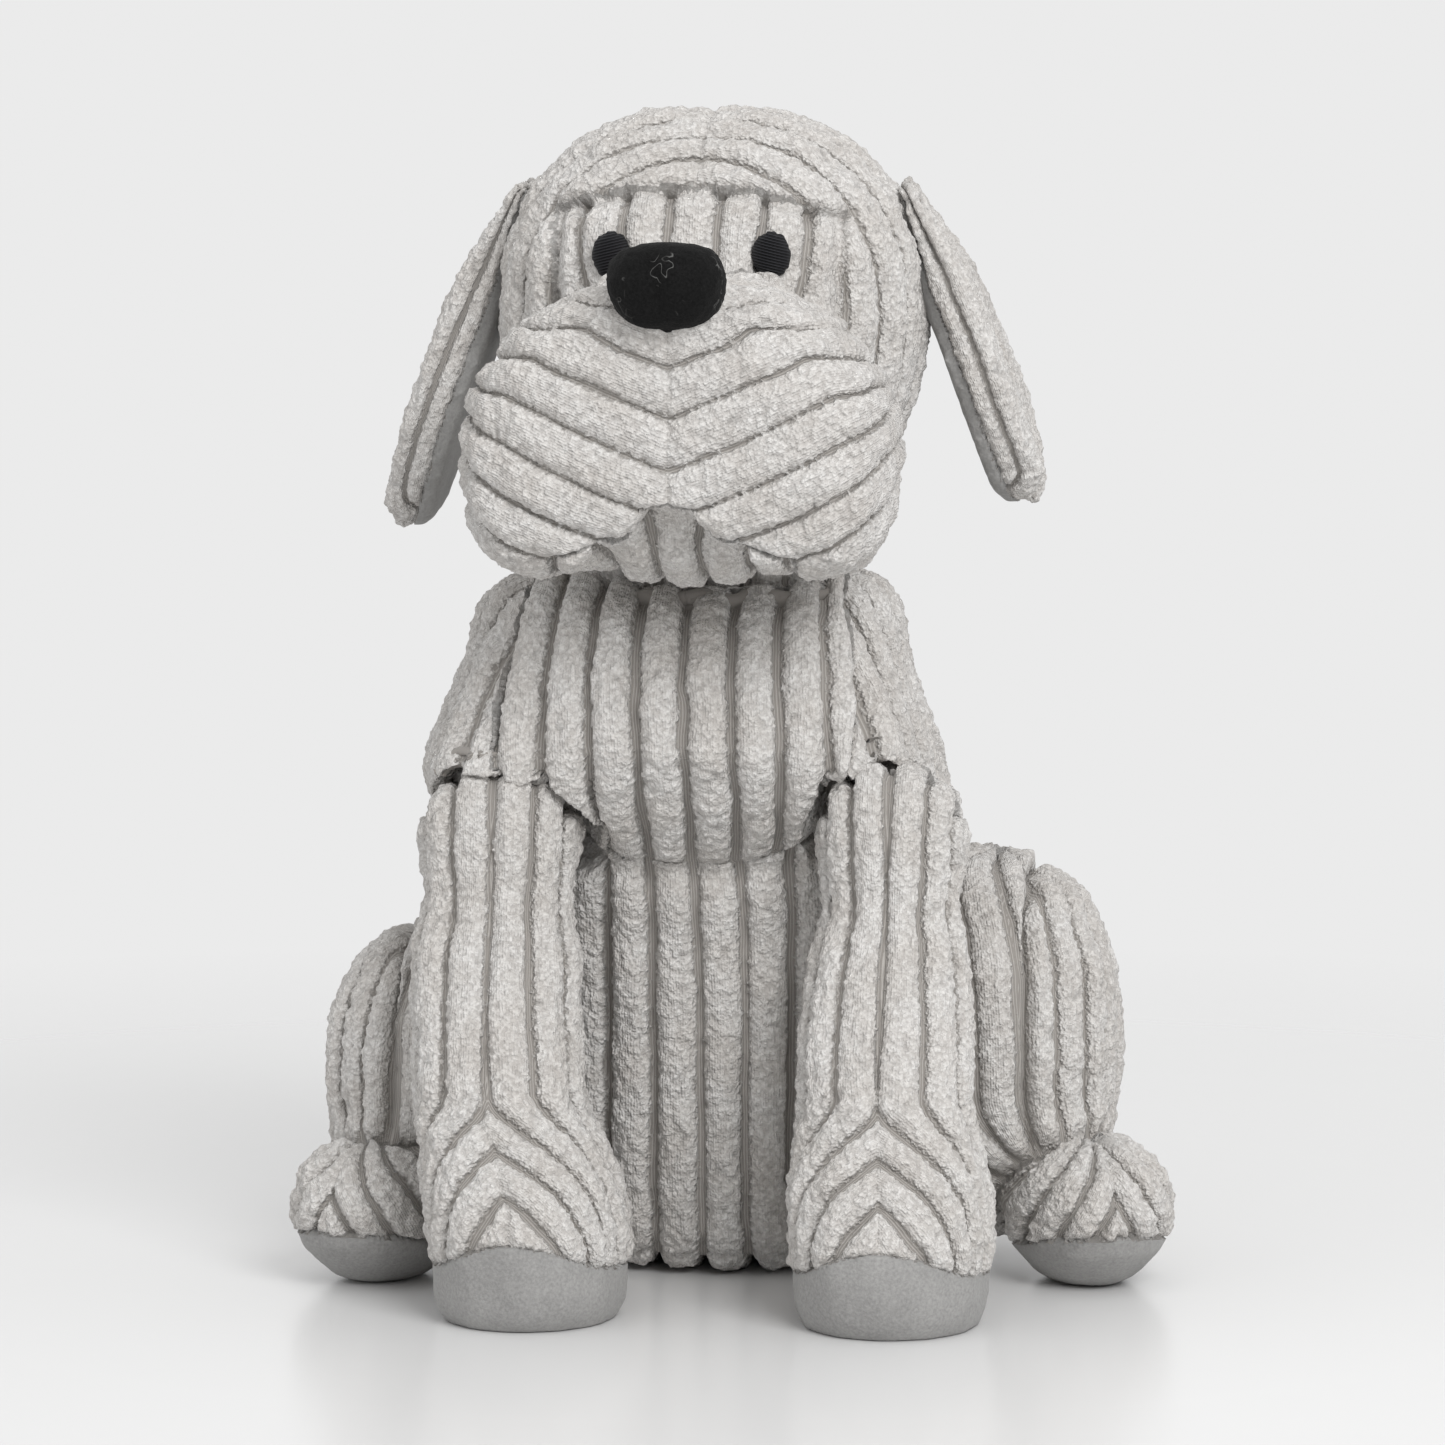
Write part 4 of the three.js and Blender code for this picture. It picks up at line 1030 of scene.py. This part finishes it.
def sew_hind_leg(side, sign, seed):
    names = ("haunch_outer_panel", "haunch_inner_panel", "foot_outer_panel", "foot_inner_panel", "hind_sole")
    nodes = [f"{side}_{n}" for n in names]
    thigh_low, thigh_high = corners(*nodes[:2])
    foot_high = corners(*nodes[2:4])[1]
    sole_low, sole_high = corners(nodes[4])
    foot = np.array([(sole_low[0] + sole_high[0]) / 2, (sole_low[1] + sole_high[1]) / 2, 19 * MM])
    thigh, thigh_half = (thigh_low + thigh_high) / 2, (thigh_high - thigh_low) / 2
    knee_x = corners(nodes[0])[0 if sign > 0 else 1][0]
    turn = sign * FOOT_TURN

    def shoe(p):
        """Sideways and forward place on the foot, and how far outside its round form a point is."""
        away = p - foot
        a = (away[:, 0] * math.cos(turn) + away[:, 1] * math.sin(turn)) * sign
        b = away[:, 0] * math.sin(turn) - away[:, 1] * math.cos(turn)
        return a, b, (a / FOOT_HALF[0]) ** 2 + (b / FOOT_HALF[1]) ** 2 + (away[:, 2] / FOOT_HALF[2]) ** 2

    def panel(p, n):
        x, y, z = p.T
        a, b, inside = shoe(p)
        ball = (np.abs((p - thigh) / thigh_half) ** 2.5).sum(1)
        is_foot = (inside < ball * 1.02) & (z < foot_high[2] + 2 * MM)
        which = np.where(sign * (x - knee_x) >= 0, 0, 1)
        which = np.where(is_foot, np.where(a >= 0, 2, 3), which)
        return np.where(is_foot & (z < 10 * MM + 0.16 * b), 4, which)

    def ribs(i, p, n):
        if i in (2, 3):
            a, b, _ = shoe(p)
            round_toe = np.abs(np.arctan2(a / FOOT_HALF[0], b / FOOT_HALF[1]))
            return round_toe * 27.5 * MM * 0.8 + 0.6 * p[:, 2] + 0.2 * RIB_PITCH
        return way_round(p, from_front=True) + 0.5 * RIB_PITCH

    skin = skin_from(f"{side}_hind_leg_skin", [*nodes, f"{side}_hind_leg_stuffing"])
    p = points_of(skin)
    p[:, 2] -= 1.8 * MM * (1 - rise(p[:, 2], 0, 10 * MM))
    move_points(skin, p)
    kinds = [("cord", 4.4, 3.0)] * 4 + [("suede", 0, 1.0)]
    sew(
        skin,
        panel,
        ribs,
        [(node.replace("_panel", "") + "_cover", node, *kind, 0.8) for node, kind in zip(nodes, kinds)],
        flush=[(2, 3)],
        laps=[(2, 4, 1.6, 0.6), (3, 4, 1.6, 0.6)],
        seed=seed,
        cap=2.0 * MM,
        pitch=0.95,
    )
    stuff(f"{side}_hind_leg_stuffing")


sew_hind_leg("left", 1, 91)
sew_hind_leg("right", -1, 111)


# %% [markdown]
# ## Ears
# An ear is a soft flap: cord outside with three long ribs and one more round its rim, suede cloth inside,
# and no filling but its own seam allowance. It hangs from its root and turns its lining to the front.
# %% Ears
def sew_ear(side, sign, longer, seed):
    """longer says how much longer the ear hangs than its CAD solid, in mm."""
    cord, lining = f"{side}_ear_cord", f"{side}_ear_lining"
    middle, along, across, through = long_axes(cord, lining)
    along = along * (-1 if along[2] > 0 else 1)
    through = through * (-1 if through[0] * sign < 0 else 1)
    across = np.cross(along, through)
    length = (points_of(frame["nodes"][cord]) - middle) @ along
    edge = ((points_of(frame["nodes"][lining]) - middle) @ through).max()
    back = ((points_of(frame["nodes"][cord]) - middle) @ through).max()

    def share(p):
        """How far down the ear a point lies, 0 at the root and 1 at the tip."""
        return ((p - middle) @ along - length.min()) / np.ptp(length)

    def thick(t):
        """How thick the ear is there: thin where it is sewn on, and rounded off at the tip."""
        return (0.45 + 0.75 * rise(t, 0, 0.35)) * np.sqrt(1 - 0.7 * rise(t, 0.84, 1.0) ** 2)

    def hung_share(p):
        """The share that a point had before the ear was hung."""
        t = share(p)
        return np.clip(t - longer * MM * rise(t, 0.3, 1.0) / np.ptp(length), 0, 1)

    twist = -sign * math.radians(20)
    across_hung = across * math.cos(twist) + through * math.sin(twist)
    through_hung = through * math.cos(twist) - across * math.sin(twist)

    def hang(p):
        """The ear bends outward a little and turns its lining to the front."""
        t, v = np.clip(share(p), 0, 1), p - middle
        depth = v @ through * thick(t) + 1.5 * MM * np.sin(math.pi * t)
        down = v @ along + longer * MM * rise(t, 0.3, 1.0)
        sideways = np.outer(v @ across, across_hung)
        return middle + np.outer(down, along) + sideways + np.outer(depth, through_hung)

    def flat(p):
        """The depth a point had before the ear was hung."""
        t = hung_share(p)
        return ((p - middle) @ through_hung - 1.5 * MM * np.sin(math.pi * t)) / thick(t)

    def panel(p, n):
        return np.where(flat(p) < edge - 1 * MM, 1, 0)

    def ribs(i, p, n):
        v = p - middle
        over = np.clip(np.abs(v @ across_hung) * (1.12 - 2.2 * (v @ along)), 0, RIB_PITCH)
        round_rim = 1.6 * np.maximum(back - 1.5 * MM - flat(p), 0)
        return over + round_rim * (1 - rise(hung_share(p), 0.86, 0.96))

    skin = skin_from(f"{side}_ear_skin", [cord, lining], voxel=2.4 * MM, soften=6, settle=6)
    move_points(skin, hang(points_of(skin)))
    sew(
        skin,
        panel,
        ribs,
        [
            (f"{side}_ear_cover", cord, "cord", 4.5, 2.4, 0.4),
            (f"{side}_ear_lining_cloth", lining, "suede", 0, 0.8, 0.3),
        ],
        laps=[(0, 1, 1.6, 1.0)],
        seed=seed,
        thin=True,
    )


sew_ear("left", 1, -4.5, 131)
sew_ear("right", -1, 3, 151)

# %% [markdown]
# ## Tail and neck
# The tail is a stuffed stub of two panels. The neck shows only as the gathered roll of cord between the
# head and the chest.
# %% Tail
TAIL_PANELS = ["tail_left_panel", "tail_right_panel"]
tail_middle, tail_along, _, _ = long_axes(*TAIL_PANELS)
tail_up = np.cross([1, 0, 0], tail_along)


def tail_ribs(i, p, n):
    v = p - tail_middle
    return np.arctan2(v[:, 0], v @ tail_up) / (2 * math.pi) * 6 * RIB_PITCH


sew(
    skin_from("tail_skin", [*TAIL_PANELS, "tail_stuffing"], voxel=2.4 * MM, soften=3),
    lambda p, n: np.where(p[:, 0] >= 0, 0, 1),
    tail_ribs,
    [(node.replace("panel", "cover"), node, "cord", 4.4, 2.6, 0.7) for node in TAIL_PANELS],
    flush=[(0, 1)],
    seed=171,
)
stuff("tail_stuffing")

# %% Neck
neck_low, neck_high = corners("neck_seam_roll")
neck_middle = (neck_low + neck_high) / 2


def neck_ribs(i, p, n):
    return np.arctan2(p[:, 0], p[:, 1] - neck_middle[1]) / (2 * math.pi) * 15 * RIB_PITCH


sew(
    skin_from("neck_skin", ["neck_seam_roll"], voxel=2.0 * MM, soften=2),
    lambda p, n: np.zeros(len(p), int),
    neck_ribs,
    [("neck_roll_cover", "neck_seam_roll", "cord", 4.4, 2.4, 0.8)],
    seed=191,
)
stuff("neck_stuffing")

# %% [markdown]
# ## Nose and eyes
# The nose is a small velour pad, broad at the top, with a crease down its middle. The eyes are ovals of
# satin stitch: thread laid side by side over the cord.
# %% Nose
def ball_for(name, rings):
    """A ball of radius 1, to be shaped into a small piece, and its points."""
    bpy.ops.object.select_all(action="DESELECT")
    bpy.ops.mesh.primitive_uv_sphere_add(segments=96, ring_count=rings, radius=1.0, location=(0, 0, 0))
    ball = bpy.context.active_object
    ball.name = name
    return ball, points_of(ball)


nose_low, nose_high = corners("nose")
nose_middle, nose_half = (nose_low + nose_high) / 2, (nose_high - nose_low) / 2
nose, q = ball_for("nose_pad", 64)
x, y, z = q.T
square = (np.abs(x) ** 2.7 + np.abs(y) ** 2.2 + np.abs(z) ** 2.7) ** (-1 / 2.6)
q = q * square[:, None]
x, y, z = q.T
narrow = 1 - 0.17 * rise(-z, -0.2, 1.0)
crease = np.exp(-(((x + 0.13 + 0.12 * z) / 0.16) ** 2))
crease = crease * rise(-y, 0.1, 0.9) * rise(0.85 - np.abs(z), 0, 0.5)
swell = waves(q, 0.5, 5) * 0.04 + waves(q, 0.14, 6) * 0.018
q = q * (1 + swell - 0.17 * crease)[:, None] * np.stack([narrow, np.ones_like(x), np.ones_like(x)], axis=1)
move_points(nose, nose_middle + q * nose_half * (1.0, 1.05, 1.0))
finish_piece(nose, ["nose"], VELOUR)
print("nose", [round(float(v) / MM, 1) for v in 2 * nose_half], "mm")


# %% Eyes
def stitch_eye(side, sign):
    low, high = corners(f"{side}_eye")
    middle, half = (low + high) / 2, (high - low) / 2
    eye, q = ball_for(f"{side}_eye_stitches", 96)
    ragged = 1 + 0.05 * waves(q * (1, 0, 1), 0.16, 7)
    q = q * np.stack([ragged, np.ones(len(q)), ragged], axis=1)
    lay = (q[:, 2] * half[2] + sign * 0.25 * q[:, 0] * half[0]) / STITCH_STEP
    q[:, 1] *= 1 + 0.06 * np.cos(2 * math.pi * lay)
    move_points(eye, middle + q * half)
    store(eye, "lines", lay + 0.25)
    finish_piece(eye, [f"{side}_eye"], THREAD)
    print(eye.name, "made")


stitch_eye("left", 1)
stitch_eye("right", -1)

# %% [markdown]
# ## Weight bag
# A flat calico bag of plastic pellets lies in the seat and keeps the dog upright. It is hidden, but the
# part is an assembly, so it has its cloth in two halves and its pellets.
# %% Weight bag
for half in ("top", "bottom"):
    bag = skin_from(f"weight_bag_{half}_cloth", [f"weight_bag_{half}"], voxel=2.5 * MM, soften=2)
    p, n = points_of(bag), normals_of(bag)
    move_points(bag, p - n * (0.3 * MM - 0.25 * MM * waves(p, 9 * MM, 9))[:, None])
    finish_piece(bag, [f"weight_bag_{half}"], CALICO)

low, high = corners("weight_pellets")
bpy.ops.object.select_all(action="DESELECT")
bpy.ops.mesh.primitive_ico_sphere_add(subdivisions=1, radius=1.9 * MM, location=(0, 0, 0))
bead = bpy.context.active_object
bead_co = points_of(bead)
bead_faces = np.array([p.vertices for p in bead.data.polygons])
bpy.data.meshes.remove(bead.data)
rows = np.arange(-0.027, 0.028, 4.1 * MM)
spots = [
    (x, y, z)
    for k, z in enumerate(np.arange(low[2] + 3 * MM, high[2] - 2 * MM, 3.4 * MM))
    for x in rows
    for y in rows
    if math.hypot(x + 1.7 * MM * (k % 2), y) < 27 * MM
]
spots = np.array(spots)
spots += 0.5 * MM * np.stack([scrambled(np.round(spots / MM), s) * 2 - 1 for s in (1, 2, 3)], axis=1)
pellets = mesh_from(
    "pellet_beads",
    (spots[:, None, :] + bead_co[None]).reshape(-1, 3),
    [(np.arange(len(spots))[:, None, None] * len(bead_co) + bead_faces[None]).reshape(-1, 3)],
)
finish_piece(pellets, ["weight_pellets"], PELLETS)
print(len(spots), "pellets")


# %% [markdown]
# ## Floor, light and camera
# The dog sits on a plain white table in a soft, bright room. A big soft lamp from the front right and a
# weaker one from the left give the ribs their shape, and the world fills the rest. The table fades away
# 0.2 to 0.6 m from the dog, so that it runs into the backdrop without a horizon. The backdrop's own color
# is for the eye and for reflections only, and adds no light.
# %% Floor
bpy.ops.object.select_all(action="DESELECT")
bpy.ops.mesh.primitive_plane_add(size=12, location=(0, 0, 0))
floor = bpy.context.active_object
floor.name = "floor"
pale, tree, shader = material("pale table")
shader.inputs["Base Color"].default_value = (0.82, 0.82, 0.82, 1)
surface(shader, 0.24, 0.5)
distance = tree.nodes.new("ShaderNodeVectorMath")
distance.operation = "LENGTH"
tree.links.new(object_place(tree), distance.inputs[0])
tree.links.new(ramp(tree, distance.outputs["Value"], 1.0, 0.0, 0.22, 0.62), shader.inputs["Alpha"])
floor.data.materials.append(pale)
floor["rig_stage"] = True

# %% World and lamps
world = bpy.data.worlds.new("studio")
bpy.context.scene.world = world
world.use_nodes = True
tree = world.node_tree
room = tree.nodes["Background"]
room.inputs["Color"].default_value = (1, 1, 1, 1)
room.inputs["Strength"].default_value = 0.62
seen = tree.nodes.new("ShaderNodeBackground")
seen.inputs["Color"].default_value = (0.83, 0.83, 0.83, 1)
seen.inputs["Strength"].default_value = 1.0
path = tree.nodes.new("ShaderNodeLightPath").outputs
choose = tree.nodes.new("ShaderNodeMixShader")
either = maths(tree, "MAXIMUM", path["Is Camera Ray"], path["Is Glossy Ray"])
tree.links.new(either, choose.inputs["Fac"])
tree.links.new(room.outputs["Background"], choose.inputs[1])
tree.links.new(seen.outputs["Background"], choose.inputs[2])
tree.links.new(choose.outputs["Shader"], tree.nodes["World Output"].inputs["Surface"])


def lamp(name, place, size, power, target=(0, -0.03, 0.14)):
    data = bpy.data.lights.new(name, "AREA")
    data.shape = "SQUARE"
    data.size = size
    data.energy = power
    light = bpy.data.objects.new(name, data)
    bpy.context.collection.objects.link(light)
    light.location = place
    light.rotation_euler = (Vector(target) - Vector(place)).to_track_quat("-Z", "Y").to_euler()
    return light


lamp("key lamp", (0.75, -1.3, 1.05), 0.8, 18)
lamp("ceiling lamp", (0, -0.35, 1.7), 1.6, 4)
lamp("fill lamp", (-1.3, -0.9, 0.9), 1.2, 2)

# %% Camera
EYE_DISTANCE, EYE_HEIGHT = 1.531, 0.275
LOOKS_DOWN = 5.15  # degrees
aim = np.array([4, -35]) * MM
turn = math.radians(7)
place = aim + EYE_DISTANCE * np.array([math.sin(turn), -math.cos(turn)])
place = place - 1.6 * MM * np.array([math.cos(turn), math.sin(turn)])
camera = bpy.data.objects.new("camera", bpy.data.cameras.new("camera"))
bpy.context.collection.objects.link(camera)
camera.location = (place[0], place[1], EYE_HEIGHT)
camera.rotation_euler = (math.radians(90 - LOOKS_DOWN), 0, turn)
camera.data.sensor_width = 36
camera.data.lens = 155.8
camera.data.clip_start = 0.05
camera.data.clip_end = 50
bpy.context.scene.camera = camera

# %% Size and finish
sizes = [[[float(v) for v in corner] for corner in found] for found in (cad_bounds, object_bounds())]
say(f"CAD box {sizes[0]}, visual box {sizes[1]}")
shown = [o for o in bpy.data.objects if o.type == "MESH" and not o.hide_render]
say(f"{sum(len(o.data.polygons) for o in shown)} faces")
